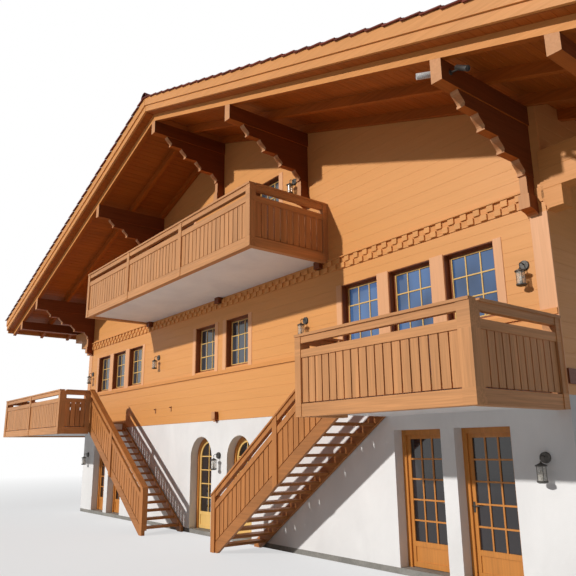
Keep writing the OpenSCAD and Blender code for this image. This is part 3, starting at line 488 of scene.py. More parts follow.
def plaster(name, colour):
    """Fine render with a slightly uneven face and faint weather marks near the ground."""
    finish = Finish(name, {"Specular IOR Level": 0.2})
    clouds = finish.noise((0.9, 0.9, 0.5), 5.0, 0.6, 0.4)
    grit = finish.noise(90.0, 3.0, 0.6)
    low = finish.spread(finish.axis("Z"), 0.1, 0.75, 0.16, 0.0)
    tone = finish.spread(clouds + grit * 0.15 - low, 0.3, 0.78)
    finish.feed("Base Color", finish.shaded(tone, colour, 0.86, 1.03))
    finish.feed("Roughness", finish.spread(grit, 0.2, 0.8, 0.95, 0.8))
    finish.bump(grit + clouds * 2.0, 0.003)


def concrete(name, dark, light):
    finish = Finish(name, {"Specular IOR Level": 0.25})
    pores = finish.noise(22.0, 6.0, 0.65)
    clouds = finish.noise(1.3, 4.0, 0.6)
    tone = finish.spread(clouds * 0.6 + pores * 0.4, 0.3, 0.7)
    finish.dress(finish.mix(tone, dark, light), pores, (0.95, 0.75), 0.004)


def clay(name, colour, lichen):
    """Fired clay, each tile a little different, with spots of lichen."""
    finish = Finish(name, {"Specular IOR Level": 0.3})
    spots = finish.noise(14.0, 5.0, 0.6)
    body = finish.shaded(finish.spread(finish.piece_random() * 0.65 + spots * 0.35, 0.2, 0.8),
                         colour, 0.62, 1.45)
    patches = finish.spread(finish.noise(5.0, 4.0, 0.7), 0.62, 0.72)
    finish.dress(finish.mix(patches * 0.35, body, lichen), spots, (0.9, 0.65), 0.002)


def iron(name, colour, metal):
    finish = Finish(name, {"Specular IOR Level": 0.5, "Metallic": metal})
    marks = finish.noise(60.0)
    shown = finish.shaded(finish.spread(marks, 0.3, 0.7), colour, 0.7, 1.3)
    finish.dress(shown, marks, (0.55, 0.35), 0.0006, ends=(0.3, 0.7))


def pane(name, colour, dim_reflection=None):
    """A pane by day: a painted sky reflection on it towards one side of the house, with painted reflection
    patches, and dark rooms behind the others under a dimmer painted reflection.
    """
    finish = Finish(name, {"Roughness": 0.06, "Specular IOR Level": 0.6, "Coat Weight": 0.4,
                           "Coat Roughness": 0.02})
    # Painted reflection: cloudy patches of lighter and darker colour on the glass
    clouds = finish.noise((0.8, 0.8, 0.5), 2.0, 0.5, 0.3)
    shown = finish.shaded(finish.spread(clouds, 0.35, 0.65), colour, 0.45, 1.9)
    if dim_reflection:
        # Painted reflection by place: panes away from the +X end of the front, in the gable and on the other
        # walls take the dimmer colour
        away = finish.spread(finish.axis("X"), 0.5, 4.5, 1.0, 0.0)
        away = away.either(finish.axis("Z") > UPPER_FLOOR).either(finish.axis("Y") > FRONT_Y + 1)
        shown = finish.mix(away, shown, finish.shaded(clouds, dim_reflection, 0.6, 1.5))
    finish.feed("Base Color", shown)


def lantern_glass(name, dark, light):
    """Clear glass with a slight ripple."""
    finish = Finish(name, {"Alpha": 0.25, "Roughness": 0.08})
    ripple = finish.noise((30.0, 30.0, 8.0), 2.0)
    finish.feed("Base Color", finish.mix(ripple, dark, light))
    finish.bump(ripple, 0.001)


def lamp_glass(name, dark, light):
    finish = Finish(name, {"Roughness": 0.3})
    finish.feed("Base Color", finish.mix(finish.noise(40.0, 2.0), dark, light))


# Properties, with the words and limits that the panel shows

def colour(name, description, *rgb):
    return bpy.props.FloatVectorProperty(
        name=name, description=description, subtype="COLOR", size=3, min=0, max=1, default=srgb(*rgb))


def measure(name, description, default, low, high, subtype="DISTANCE"):
    return bpy.props.FloatProperty(
        name=name, description=description, subtype=subtype, default=default, min=low, max=high)


class HouseColours(bpy.types.PropertyGroup):
    wall: colour("Wall boards", "Stained boards of the upper walls", 226, 158, 90)
    casing: colour("Casings", "Lighter boards beside the windows and at the corners", 234, 174, 126)
    balcony: colour("Balustrades", "Boards, posts and rails of the balconies", 202, 142, 90)
    stair: colour("Stairs", "Boards, posts, rails and stringers of the stairs", 186, 120, 62)
    verge: colour("Verge boards", "Boards along the edges of the roof", 216, 146, 78)
    beam: colour("Roof timbers", "Purlins and consoles", 122, 58, 20)
    # Painted sunlight: a lighter colour for the faces of the roof timbers that look out, standing in for the
    # sun on them
    sunlit_face_colour: colour("Painted sunlit faces", "Faces of the roof timbers that look out from the house",
                      204, 146, 100)
    # Painted shade: the wood under the roof has a darker, more saturated stain than the wall boards, for the
    # shade it lies in
    soffit: colour("Soffit", "Rafters and boards under the roof", 174, 90, 22)
    plaster: colour("Plaster", "Ground floor walls", 238, 237, 236)
    # Painted bounce light: the balcony undersides take a brighter, bluer copy of the plaster colour
    slab: colour("Balcony slabs", "Whitened undersides of the balconies", 250, 252, 255)
    joinery: colour("Joinery", "Frames and sashes of the windows", 146, 80, 40)
    door: colour("Doors", "Ground floor doors and their frames", 206, 136, 66)
    bars: colour("Glazing bars", "Bars of windows and arched doors", 238, 196, 118)
    tile: colour("Roof tiles", "Fired clay of the roof tiles", 112, 52, 40)
    # Painted reflections: the blue of the window glass stands in for the sky on it, and the dim colour for
    # panes that show less of it
    glass: colour("Window glass", "Panes that show the sky", 62, 94, 138)
    dim_reflection_glass: colour("Dim reflection glass", "Panes of windows that show little of the sky", 56, 62, 70)
    door_glass: colour("Door glass", "Panes that show a dark room", 30, 26, 28)
    iron: colour("Iron", "Lanterns and door furniture", 74, 70, 66)


class CHALET_OT_finishes(bpy.types.Operator):
    """Make the finishes and give them to the nodes of the frame"""
    bl_idname = "chalet.finishes"
    bl_label = "Finishes"

    def execute(self, context):
        tones = context.scene.chalet_colours
        for axis in "XY":
            wood("wall boards " + axis, tones.wall, 0.86, 1.06, axis, 0.5, 0.12, 0.45, relief=0.0008)
            wood("verge boards " + axis, tones.verge, 0.8, 1.1, axis)
        for axis in "YZ":
            roof_timber("roof timber " + axis, tones.beam, tones.sunlit_face_colour, tones.soffit, axis)
        # Painted sunlight on the outermost rafters: only their outward faces take the verge colour, the
        # inner ones keep the soffit colour
        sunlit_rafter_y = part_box("rafters")[1].y - 0.12
        roof_timber("rafters", tones.soffit, tones.verge, tones.soffit, "X", sunlit_rafter_y)
        wood("casing Z", tones.casing, 0.84, 1.06, "Z", 0.9, 0.2)
        wood("joinery Z", tones.joinery, 0.6, 1.25, "Z", roughness=0.35)
        wood("soffit boards", tones.soffit, 0.75, 1.1, "Y", 1.0, 0.3)
        wood("roof deck", tones.soffit, 0.75, 1.1, "Y", crest=tuple(0.7 * part for part in tones.tile))
        wood("frieze blocks", tones.wall, 0.8, 1.02, "X", 0.8, 0.5)
        wood("door leaves", tones.door, 0.7, 1.12, "Z", roughness=0.32)
        wood("glazing bars", tones.bars, 0.8, 1.05, "Z", 1.0, 0.1, 0.35)
        wood("floor boards", srgb(160, 120, 80), 0.75, 1.1, "X", roughness=0.4)
        wood("deck boards", srgb(160, 124, 92), 0.7, 1.15, "X", 1.0, 0.4, 0.6)
        wood("stair treads", tones.stair, 0.55, 1.0, "Y")
        wood("stringers", tones.stair, 0.55, 1.0, "X")
        wood("dark boards X", tones.beam, 0.5, 0.9, "X")
        stair_wood("stair balustrade", tones.stair)
        for storey, node in (("upper", "upper_front_balustrade"), ("lower", "lower_front_balustrades")):
            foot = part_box(node)[0].z
            for ending, axis in (("", "X"), (" sides", "Y")):
                balustrade_wood(storey + " balustrade" + ending, tones.balcony, axis,
                                foot + 0.21, foot + 0.92)
        plaster("plaster", tones.plaster)
        # Painted bounce light: a brighter copy of the plaster for the undersides of the balconies
        plaster("white slabs", tones.slab)
        concrete("slab concrete", srgb(112, 110, 106), srgb(160, 157, 150))
        clay("clay tiles", tones.tile, srgb(120, 112, 92))
        iron("forged iron", tones.iron, 0.5)
        iron("painted lamps", srgb(206, 206, 204), 0.0)
        pane("window panes", tones.glass, tones.dim_reflection_glass)
        pane("door panes", tones.door_glass)
        lantern_glass("lantern glass", srgb(206, 200, 186), srgb(240, 236, 226))
        lamp_glass("opal lamps", srgb(232, 226, 212), srgb(250, 246, 236))
        given = {
            "slab concrete": ["ground_slab"],
            "plaster": ["front_base_piers", "front_base_lintels", "side_base_walls", "back_base_wall"],
            "white slabs": ["balcony_slabs"],
            "joinery Z": ["window_frames"],
            "door leaves": ["door_frames", *(name + "_door" for name in HINGE_SIDE if "arched" not in name)],
            "glazing bars": [name + "_door" for name in HINGE_SIDE if "arched" in name],
            "door panes": [name + "_glass" for name in HINGE_SIDE],
            "window panes": ["window_glass"],
            "floor boards": ["floors"],
            "wall boards X": ["front_wall", "back_wall", "gable_walls"],
            "wall boards Y": ["side_walls"],
            "roof timber Y": ["purlins", "consoles"],
            "roof timber Z": ["console_posts"],
            "rafters": ["rafters"],
            "roof deck": ["roof_left", "roof_right"],
            "verge boards X": ["verge_boards", "wall_mouldings", "corner_corbels"],
            "verge boards Y": ["eave_boards"],
            "upper balustrade": ["upper_front_balustrade"],
            "upper balustrade sides": ["upper_side_balustrades"],
            "lower balustrade": ["lower_front_balustrades"],
            "lower balustrade sides": ["lower_side_balustrades"],
            "stair treads": ["stair_treads"],
            "stringers": ["stair_stringers"],
            "stair balustrade": ["stair_balustrades"],
            "dark boards X": ["sill_and_bearer_beams"],
            "forged iron": ["wall_lanterns"],
        }
        bare = set(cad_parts)
        for finish, nodes in given.items():
            bare -= set(nodes)
            for node in nodes:
                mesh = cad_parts[node]
                if not mesh.data.materials:
                    mesh.data.materials.append(MATERIALS[finish])
                for slot in mesh.material_slots:
                    slot.material = MATERIALS[finish]
        if bare:
            raise RuntimeError(f"no finish for {sorted(bare)}")
        return {"FINISHED"}


class RoofTileSizes(bpy.types.PropertyGroup):
    courses: bpy.props.IntProperty(
        name="Courses", description="Rows of tiles on one slope", default=34, min=28, max=40)
    step: measure("Step", "Height of the foot of a course above the deck", 0.036, 0.015, 0.05)
    cover: measure("Cover", "Width that one tile covers", 0.3, 0.18, 0.4)
    roll: measure("Roll", "Height of the rolls above the pan of a tile", 0.03, 0.01, 0.08)
    thickness: measure("Thickness", "Thickness of the clay", 0.02, 0.01, 0.03)
    overhang: measure("Overhang", "Reach of the tiles past the verge and eave boards", 0.04, 0.0, 0.08)


def one_tile(sizes, length, width):
    """A tile with two rolls, lying level, the middle of its foot at zero and its head towards -X."""
    roll = [0.0, 0.6, 1.0, 0.6, 0.0]
    profile = [0.0, *roll, *roll]
    columns = len(profile) - 1
    focus()
    bpy.ops.mesh.primitive_grid_add(x_subdivisions=1, y_subdivisions=columns, size=1)
    tile = settle(bpy.context.object, (-length / 2, 0, 0), size=(length, width, 1))
    for k, height in enumerate(profile):
        y = -width / 2 + width * k / columns
        open_part(tile, "VERT", lambda vertex: abs(vertex.co.y - y) < 0.002)
        bpy.ops.transform.translate(value=(0, 0, sizes.roll * height))
        close()
    return apply_modifier(tile, "SOLIDIFY", thickness=sizes.thickness, offset=1)


def ridge_row(width):
    """Half round tiles along the ridge, each with a wider mouth that covers the next."""
    length, spacing, mouth = 0.42, 0.37, 1.1
    focus()
    bpy.ops.mesh.primitive_cylinder_add(
        vertices=24, radius=RIDGE_ROW + 0.01, depth=length, end_fill_type="NOTHING",
        rotation=(math.pi / 2, 0, 0))
    cap = settle(bpy.context.object)
    cut_off(cap, (0, 0, -0.035), DOWN, fill=False)
    open_part(cap, "VERT", lambda vertex: vertex.co.y < 0)
    bpy.ops.transform.resize(value=(mouth, 1, mouth), center_override=(0, -length / 2, 0))
    close()
    outward(cap)
    apply_modifier(cap, "SOLIDIFY", thickness=0.014, offset=1)
    count = round(width / spacing)
    settle(cap, (0, -width / 2 + length / 2, ROOF_TOP))
    return array(cap, count, (0, (width - length) / (count - 1), 0))


class CHALET_OT_roof_tiles(bpy.types.Operator):
    """Lay clay tiles over both slopes and a row of ridge tiles"""
    bl_idname = "chalet.roof_tiles"
    bl_label = "Roof tiles"

    def execute(self, context):
        sizes = context.scene.chalet_roof_tiles
        foot_lap, head_lap, side_lap = 0.012, 0.01, 0.02
        run = (EAVE_EDGE + sizes.overhang) / sizes.courses / math.cos(PITCH)
        back, lift = sizes.step * math.sin(PITCH), sizes.step * math.cos(PITCH)
        tilt = math.atan2(lift, run - back)
        width = 2 * (ROOF_END + sizes.overhang)
        columns = round(width / sizes.cover)
        cover = (width - side_lap) / columns
        tile = one_tile(sizes, run + head_lap, cover + side_lap)
        settle(tile, (run * sizes.courses - back + foot_lap, -width / 2 + cover / 2 + side_lap / 2,
                      lift + HAIR + foot_lap * math.tan(tilt)), (0, -tilt, 0))
        array(tile, sizes.courses, (-run, 0, 0))
        array(tile, columns, (0, cover, 0))
        settle(tile, (0, 0, ROOF_TOP), (0, PITCH, 0))
        left = copy_of(tile, turn=math.pi)
        complete(tile, "tiles_right", "clay tiles", smooth=40)
        complete(left, "tiles_left", "clay tiles", smooth=40)
        complete(ridge_row(width), "ridge_tiles", "clay tiles", smooth=40)
        return {"FINISHED"}


class SoffitSizes(bpy.types.PropertyGroup):
    board: measure("Board", "Width of one board under the roof", 0.16, 0.1, 0.25)
    joint: measure("Joint", "Width of the joint between two boards", 0.004, 0.002, 0.01)
    thickness: measure("Thickness", "Distance by which the boards stand below the deck", 0.01, 0.004, 0.02)


class CHALET_OT_soffit(bpy.types.Operator):
    """Line the underside of both slopes with boards that run along the house"""
    bl_idname = "chalet.soffit"
    bl_label = "Soffit boards"

    def execute(self, context):
        sizes = context.scene.chalet_soffit
        start, margin = 0.02, 0.004
        slope = EAVE_X / math.cos(PITCH) - start
        count = int(slope / sizes.board)
        pitch = slope / count
        end = DECK_END - margin
        boards = block((start + sizes.joint / 2, -end, -sizes.thickness),
                       (start + pitch - sizes.joint / 2, end, SEAT), 0.003)
        array(boards, count, (pitch, 0, 0))
        settle(boards, (0, 0, RIDGE), (0, PITCH, 0))
        complete(both_ends(boards), "soffit_boards", "soffit boards")
        return {"FINISHED"}


class WallBoardSizes(bpy.types.PropertyGroup):
    pitch: measure("Pitch", "Height of one wall board", 0.22, 0.1, 0.35)
    thickness: measure("Thickness", "Distance by which the boards stand out from the wall",
                       0.012, 0.005, 0.03)
    joint: measure("Joint", "Width of the joint between two boards", 0.0015, 0.001, 0.02)
    casing: measure("Casing", "Width of a casing board beside a window", 0.16, 0.08, 0.25)
    corner: measure("Corner board", "Width of the boards at the corners of the house", 0.27, 0.1, 0.4)


def front_openings(back):
    """Middle, foot and height of each hole in the front wall, or in the back wall, seen from outside."""
    holes = [(s * x, WINDOW_SILL, WINDOW_H) for s in (-1, 1) for x in (MIDDLE_X, *GROUP_X)]
    if not back:
        holes.remove((GROUP_MIDDLE, WINDOW_SILL, WINDOW_H))
        holes.append((GROUP_MIDDLE, FIRST_FLOOR, WINDOW_HEAD - FIRST_FLOOR))
    return holes


def gable_openings(back):
    """The same for the gable above, with doors in front and windows at the back."""
    sill, height = (GABLE_SILL, WINDOW_H) if back else (0, GABLE_DOOR_H)
    return [(s * GABLE_DOOR_X, UPPER_FLOOR + sill, height) for s in (-1, 1)]


def level_boards(sizes, x, z, y, openings):
    """Boards one above the other on a wall that faces -Y, cut under the roof and round the openings."""
    below_roof, deep = 0.01, 0.1
    boards = block((x[0], y - sizes.thickness, z[0] + sizes.joint / 2),
                   (x[1], y + SEAT, z[0] + sizes.pitch - sizes.joint / 2), 0.001)
    array(boards, math.ceil((z[1] - z[0]) / sizes.pitch), (0, 0, sizes.pitch))
    cut_off(boards, (0, 0, z[1]), UP)
    for s in (-1, 1):
        cut_off(boards, (0, 0, RIDGE - below_roof), (s * math.sin(PITCH), 0, math.cos(PITCH)))
    return take_out(boards, [((middle - WINDOW_HALF, y - deep, foot),
                              (middle + WINDOW_HALF, y + deep, foot + height))
                             for middle, foot, height in openings])


class CHALET_OT_wall_boards(bpy.types.Operator):
    """Clad the timber walls with level boards, cut round the windows and doors"""
    bl_idname = "chalet.wall_boards"
    bl_label = "Wall boards"

    def execute(self, context):
        sizes = context.scene.chalet_wall_boards
        sill_beam = 0.21
        for back, name in ((False, "front_boards"), (True, "back_boards")):
            boards = level_boards(sizes, (-HALF_W, HALF_W), (WOOD_FOOT + HAIR, RIDGE), FRONT_Y,
                                  front_openings(back) + gable_openings(back))
            if back:
                settle(boards, turn=(0, 0, math.pi))
            complete(boards, name, "wall boards X")
        top = RIDGE - HALF_W * math.tan(PITCH)
        side = level_boards(sizes, (FRONT_Y, BACK_Y), (SIDE_FOOT + sill_beam + HAIR, top), -HALF_W,
                            [(y, WINDOW_SILL, WINDOW_H) for y in SIDE_WINDOWS])
        settle(side, turn=(0, 0, math.pi / 2))
        complete(both_sides(side), "side_boards", "wall boards Y")
        return {"FINISHED"}


def upright_board(x, z, proud):
    return block((x[0], FRONT_Y - proud, z[0]), (x[1], FRONT_Y + SEAT, z[1]), 0.004)


class CHALET_OT_casings(bpy.types.Operator):
    """Put upright boards beside the windows and at the corners of the house"""
    bl_idname = "chalet.casings"
    bl_label = "Casings"

    def execute(self, context):
        sizes = context.scene.chalet_wall_boards
        foot, rise, corner_head, gap = 3.94, 0.02, 5.4, 0.004
        over = 0.012
        proud = sizes.thickness + over

        def beside(row, low, high):
            """Boards on both sides of a row of openings, and between them."""
            starts = [row[0] - WINDOW_HALF - sizes.casing, *(x + WINDOW_HALF for x in row)]
            ends = [*(x - WINDOW_HALF for x in row), row[-1] + WINDOW_HALF + sizes.casing]
            return [upright_board((x0 + gap, x1 - gap), (low, high), proud) for x0, x1 in zip(starts, ends)]

        head = WINDOW_HEAD + rise
        front = both_sides(join(beside(GROUP_X, foot, head) + beside([MIDDLE_X], foot, head)))
        back = copy_of(front, turn=math.pi)
        gable_head = UPPER_FLOOR + GABLE_DOOR_H + rise
        gable = both_sides(join(beside([GABLE_DOOR_X], UPPER_FLOOR, gable_head)))
        corner = upright_board((HALF_W - sizes.corner, HALF_W + over),
                               (WOOD_FOOT + 0.01, corner_head), proud)
        corners = both_ends(both_sides(corner))
        complete(join([front, back, gable, corners]), "casings", "casing Z")
        return {"FINISHED"}


class DeckSizes(bpy.types.PropertyGroup):
    board: measure("Board", "Width of one deck board", 0.14, 0.08, 0.2)
    joint: measure("Joint", "Gap between two deck boards", 0.006, 0.003, 0.01)
    thickness: measure("Thickness", "Thickness of the boards", 0.018, 0.01, 0.03)


class CHALET_OT_deck_boards(bpy.types.Operator):
    """Lay boards on the three balconies"""
    bl_idname = "chalet.deck_boards"
    bl_label = "Deck boards"

    def execute(self, context):
        sizes = context.scene.chalet_deck
        decks = []
        for floor, (x0, y0), (x1, y1) in DECKS:
            z = floor + 0.001
            count = round((y1 - y0) / sizes.board)
            pitch = (y1 - y0) / count
            board = block((x0, y0, z), (x1, y0 + pitch - sizes.joint, z + sizes.thickness), 0.003)
            decks.append(array(board, count, (0, pitch, 0)))
        complete(join(decks), "deck_boards", "deck boards")
        return {"FINISHED"}


class CHALET_OT_corbel_faces(bpy.types.Operator):
    """Face the stacked beams at the corners with boards, the lowest with a slanting end"""
    bl_idname = "chalet.corbel_faces"
    bl_label = "Corbel faces"

    def execute(self, context):
        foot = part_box("corner_corbels")[0].z
        start, proud, joint = HALF_W - 0.04, 0.03, 0.001
        nose, slant = 0.18, (-0.9, 0, -0.42)
        boards = [block((start, FRONT_Y - proud, foot + k * CORBEL_BEAM_H),
                        (HALF_W + reach + HAIR, FRONT_Y + HAIR, foot + (k + 1) * CORBEL_BEAM_H - joint))
                  for k, reach in enumerate(CORBEL_REACH)]
        cut_off(boards[0], (start, 0, foot + nose), slant)
        piece = both_ends(both_sides(chamfer(join(boards), 0.003)))
        complete(piece, "corbel_faces", "verge boards X")
        return {"FINISHED"}


class FriezeSizes(bpy.types.PropertyGroup):
    block: measure("Block", "Width of one block", 0.1275, 0.08, 0.2)
    gap: measure("Gap", "Groove round a block", 0.006, 0.002, 0.02)
    clear: measure("Clear of the corner", "Distance of the last block from the corner of the house",
                   0.25, 0.0, 0.5)
    proud: measure("Relief", "Distance by which the blocks stand out", 0.03, 0.005, 0.05)


class CHALET_OT_frieze(bpy.types.Operator):
    """Set two rows of blocks on the frieze under the gable, like the dark fields of a chessboard"""
    bl_idname = "chalet.frieze"
    bl_label = "Frieze blocks"

    def execute(self, context):
        sizes = context.scene.chalet_frieze
        slab_half, slab_foot, slab_top, ledge = 4.195, 5.745, 5.9, 0.018
        face = FRONT_Y - FRIEZE_DEPTH
        foot, drip = FRIEZE_LOW - 0.02, FRIEZE_HIGH - 0.022
        row_h = (drip - foot) / 2
        rows = []
        for k in (0, 1):
            start = -HALF_W + 0.01 - k * sizes.block
            z = foot + k * row_h
            one = block((start + sizes.gap / 2, face - sizes.proud, z + sizes.gap),
                        (start + sizes.block - sizes.gap / 2, face + HAIR, z + row_h - sizes.gap / 2), 0.004)
            rows.append(array(one, math.ceil(HALF_W / sizes.block) + 1, (2 * sizes.block, 0, 0)))
        end = HALF_W - sizes.clear
        blocks = join(rows)
        cut_off(blocks, (end, 0, 0), (1, 0, 0))
        cut_off(blocks, (-end, 0, 0), (-1, 0, 0))
        take_out(blocks, [((-slab_half, FRONT_Y - 0.3, slab_foot), (slab_half, FRONT_Y + 0.1, slab_top))])
        top = block((slab_half + 0.005, face - sizes.proud - ledge, drip),
                    (end, face + SEAT, FRIEZE_HIGH), 0.003)
        backing = block((0, face - 0.001, foot - 0.003), (end, FRONT_Y, FRIEZE_LOW + 0.001))
        blocks = join([blocks, both_sides(join([top, backing]))])
        complete(blocks, "frieze_blocks", "frieze blocks")
        return {"FINISHED"}


class GlazingSizes(bpy.types.PropertyGroup):
    bar: measure("Bar", "Width of a glazing bar", 0.024, 0.01, 0.05)
    depth: measure("Depth", "Distance by which a bar stands out from the glass", 0.014, 0.005, 0.03)
    sash: measure("Sash", "Width of the sash beside the glass", 0.022, 0.01, 0.08)


def slat(x, z, proud, edge=0.0):
    """A bar across an opening that stands out on both faces of the glass."""
    glass = 0.145
    return block((x[0], glass - proud, z[0]), (x[1], glass + proud, z[1]), edge)


def glazing(sizes, height, rows, panel):
    """Sash and bars for one opening, middle of its foot at zero, over a panel of this height."""
    window_frame, sash_depth, panel_depth = 0.055, 0.03, 0.022
    upright_depth, level_depth = 0.009 + sizes.depth, 0.008 + sizes.depth
    half, low, high = WINDOW_HALF - window_frame, window_frame, height - window_frame
    parts = [slat(x, z, sash_depth, 0.005) for x, z in (
        ((-half, -half + sizes.sash), (low, high)), ((half - sizes.sash, half), (low, high)),
        ((-half, half), (low, low + sizes.sash)), ((-half, half), (high - sizes.sash, high)))]
    if panel:
        parts.append(slat((-half, half), (low, low + panel), panel_depth, 0.006))
    foot = low + panel
    edge = sizes.sash - HAIR
    bar = sizes.bar / 2
    bars = []
    for k in (1, 2):
        x = -half + 2 * half * k / 3
        start = foot if panel else foot + edge
        bars.append(slat((x - bar, x + bar), (start, high - edge), upright_depth))
    for k in range(1, rows):
        z = foot + (high - foot) * k / rows
        bars.append(slat((-half + edge, half - edge), (z - bar, z + bar), level_depth))
    return join(parts), chamfer(join(bars), 0.003)


def lining(height):
    """Boards on the sides and the head of the reveal in front of a window."""
    depth, board = 0.108, 0.014
    half = WINDOW_HALF + HAIR
    boards = [block((-half, -SEAT, HAIR), (-half + board, depth, height - HAIR)),
              block((half - board, -SEAT, HAIR), (half, depth, height - HAIR)),
              block((-half, -SEAT, height - board), (half, depth, height + HAIR))]
    return chamfer(join(boards), 0.002)


class CHALET_OT_glazing(bpy.types.Operator):
    """Fit sashes and glazing bars into the windows and upper doors"""
    bl_idname = "chalet.glazing"
    bl_label = "Sashes and bars"

    def execute(self, context):
        sizes = context.scene.chalet_glazing
        places = {}
        for back, y, turn in ((False, FRONT_Y, 0.0), (True, BACK_Y, math.pi)):
            for x, z, height in front_openings(back) + gable_openings(back):
                places.setdefault(height, []).append(((x, y, z), turn))
        for y in SIDE_WINDOWS:
            for s in (1, -1):
                places[WINDOW_H].append(((s * HALF_W, y, WINDOW_SILL), s * math.pi / 2))
        all_sashes, all_bars, all_linings = [], [], []
        for height, here in places.items():
            rows, panel = (3, 0.0) if height == WINDOW_H else (5, 0.35)
            sash, bars = glazing(sizes, height, rows, panel)
            all_sashes.append(repeat(sash, here))
            all_bars.append(repeat(bars, here))
            all_linings.append(repeat(lining(height), here))
        complete(join(all_linings), "window_linings", "joinery Z")
        complete(join(all_sashes), "sashes", "glazing bars")
        complete(join(all_bars), "window_bars", "glazing bars")
        return {"FINISHED"}


class LanternSizes(bpy.types.PropertyGroup):
    glass: measure("Glass radius", "Radius of a lantern's glass", 0.06, 0.04, 0.08)
    height: measure("Glass height", "Height of a lantern's glass", 0.19, 0.1, 0.25)
    reach: measure("Reach", "Distance from the wall to the middle of a lantern", 0.15, 0.1, 0.2)


def lantern_arm(points):
    """A bent round bar through these points."""
    curve = bpy.data.curves.new("arm", "CURVE")
    curve.dimensions = "3D"
    curve.bevel_depth = 0.008
    curve.bevel_resolution = 2
    curve.resolution_u = 6
    curve.use_fill_caps = True
    spline = curve.splines.new("BEZIER")
    spline.bezier_points.add(len(points) - 1)
    for point, place in zip(spline.bezier_points, points):
        point.co = place
        point.handle_left_type = point.handle_right_type = "AUTO"
    arm = bpy.data.objects.new("arm", curve)
    bpy.context.scene.collection.objects.link(arm)
    focus(arm)
    bpy.ops.object.convert(target="MESH")
    return outward(bpy.context.object)


class CHALET_OT_lanterns(bpy.types.Operator):
    """Hang the iron lanterns on the front wall"""
    bl_idname = "chalet.lanterns"
    bl_label = "Lanterns"

    def execute(self, context):
        sizes = context.scene.chalet_lanterns
        radius, y = sizes.glass, -sizes.reach
        roof_top, roof_height = -0.039, 0.075
        glass_top = roof_top - roof_height
        glass_foot = glass_top - sizes.height
        plate_radius, plate_front, brim, base = 0.078, -0.018, radius + 0.022, radius + 0.016

        plate = chamfer(rod((0, HAIR, 0), (0, plate_front, 0), plate_radius, 24), 0.005, 2)
        open_faces(plate, (0, -1, 0))
        step_in(0.03, (0, -0.014, 0))
        step_in(0.02, (0, -0.012, 0))
        close()
        arm = lantern_arm([(0, -0.03, 0), (0, -0.09, 0.028), (0, y, 0.005), (0, y, roof_top + 0.004)])
        cap = rod((0, y, glass_top), (0, y, glass_top + 0.012), brim, 20)
        open_faces(cap, UP)
        for inset, rise in ((0.02, 0.012), (0.025, 0.01), (0.02, 0.014), (0.008, 0.02)):
            step_in(inset, (0, 0, rise))
        close()
        foot = rod((0, y, glass_foot - 0.02), (0, y, glass_foot), base, 20)
        open_faces(foot, DOWN)
        step_in(0.025, (0, 0, -0.014))
        close()
        bars = []
        thick = 0.004
        for k in range(4):
            angle = math.pi / 4 + math.pi * 2 * k / 4
            x, dy = math.cos(angle) * (radius + thick), math.sin(angle) * (radius + thick)
            bars.append(rod((x, y + dy, glass_foot - SEAT), (x, y + dy, glass_top + SEAT), thick, 6))
        holder = rod((0, y, glass_foot - HAIR), (0, y, glass_foot + 0.05), 0.022, 16, 0.014)
        chamfer(holder, 0.003)
        metal = join([plate, arm, cap, foot, holder, *bars])

        glass = rod((0, y, glass_foot - HAIR), (0, y, glass_top + HAIR), radius, 20)
        open_faces(glass, UP, DOWN)
        bpy.ops.mesh.delete(type="FACE")
        close()
        apply_modifier(glass, "SOLIDIFY", thickness=0.003, offset=-1)
        lamp = rod((0, y, glass_foot + 0.045), (0, y, glass_foot + 0.06), 0.012, 12)
        open_faces(lamp, UP)
        for growth, rise in ((1.6, 0.02), (1, 0.025), (0.28, 0.018)):
            extrude((0, 0, rise))
            bpy.ops.transform.resize(value=(growth, growth, 1))
        close()

        places = [((x, FRONT_Y, z), 0.0) for x, z in LANTERN_PLACES]
        metal = complete(repeat(metal, places), "lanterns", "forged iron", smooth=35)
        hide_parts("wall_lanterns")
        complete(repeat(glass, places), "lantern_glass", "lantern glass", smooth=40)
        complete(repeat(lamp, places), "lantern_lamps", "opal lamps", smooth=40)
        return {"FINISHED"}


class CHALET_OT_door_furniture(bpy.types.Operator):
    """Put a lever handle and its plate on both faces of each ground floor door"""
    bl_idname = "chalet.door_furniture"
    bl_label = "Door furniture"

    def execute(self, context):
        lock, height, length, thick = 0.042, 1.05, 0.11, 0.009
        plate_half, above, below = 0.018, 0.06, 0.1
        inner_face = FRONT_Y + 0.3
        z = GROUND_TOP + height
        for name, side in HINGE_SIDE.items():
            low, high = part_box(name + "_door")
            x = (low.x if side > 0 else high.x) + side * lock
            parts = []
            for face, out in ((low.y, -1), (inner_face, 1)):
                plate = block((x - plate_half, face, z - below),
                              (x + plate_half, face + out * 0.008, z + above), 0.003)
                neck = rod((x, face, z), (x, face + out * 0.045, z), thick, 10)
                lever = block((x, face + out * 0.036, z - thick),
                              (x + side * length, face + out * 0.05, z + thick), 0.004, 2)
                parts += [plate, neck, lever]
            complete(join(parts), name + "_handle", "forged iron", name + "_leaf", smooth=35)
        return {"FINISHED"}


def tube_lamp(start, end, radius, hold):
    """A short round lamp with a recessed front at its end, on a bracket to a point."""
    start, end, hold = Vector(start), Vector(end), Vector(hold)
    out = (end - start).normalized()
    tube = rod(start, end, radius, 20)
    open_faces(tube, out)
    bpy.ops.mesh.inset(thickness=0.008)
    extrude(tuple(out * -0.03))
    close()
    chamfer(tube, 0.003, 2, 40)
    middle = (start + end) / 2
    arm = chamfer(rod(hold, middle, 0.014, 12), 0.002)
    away = (hold - middle).normalized()
    plate = chamfer(rod(hold + away * 0.002, hold - away * 0.012, 0.035, 20), 0.003, 2)
    return join([tube, arm, plate])


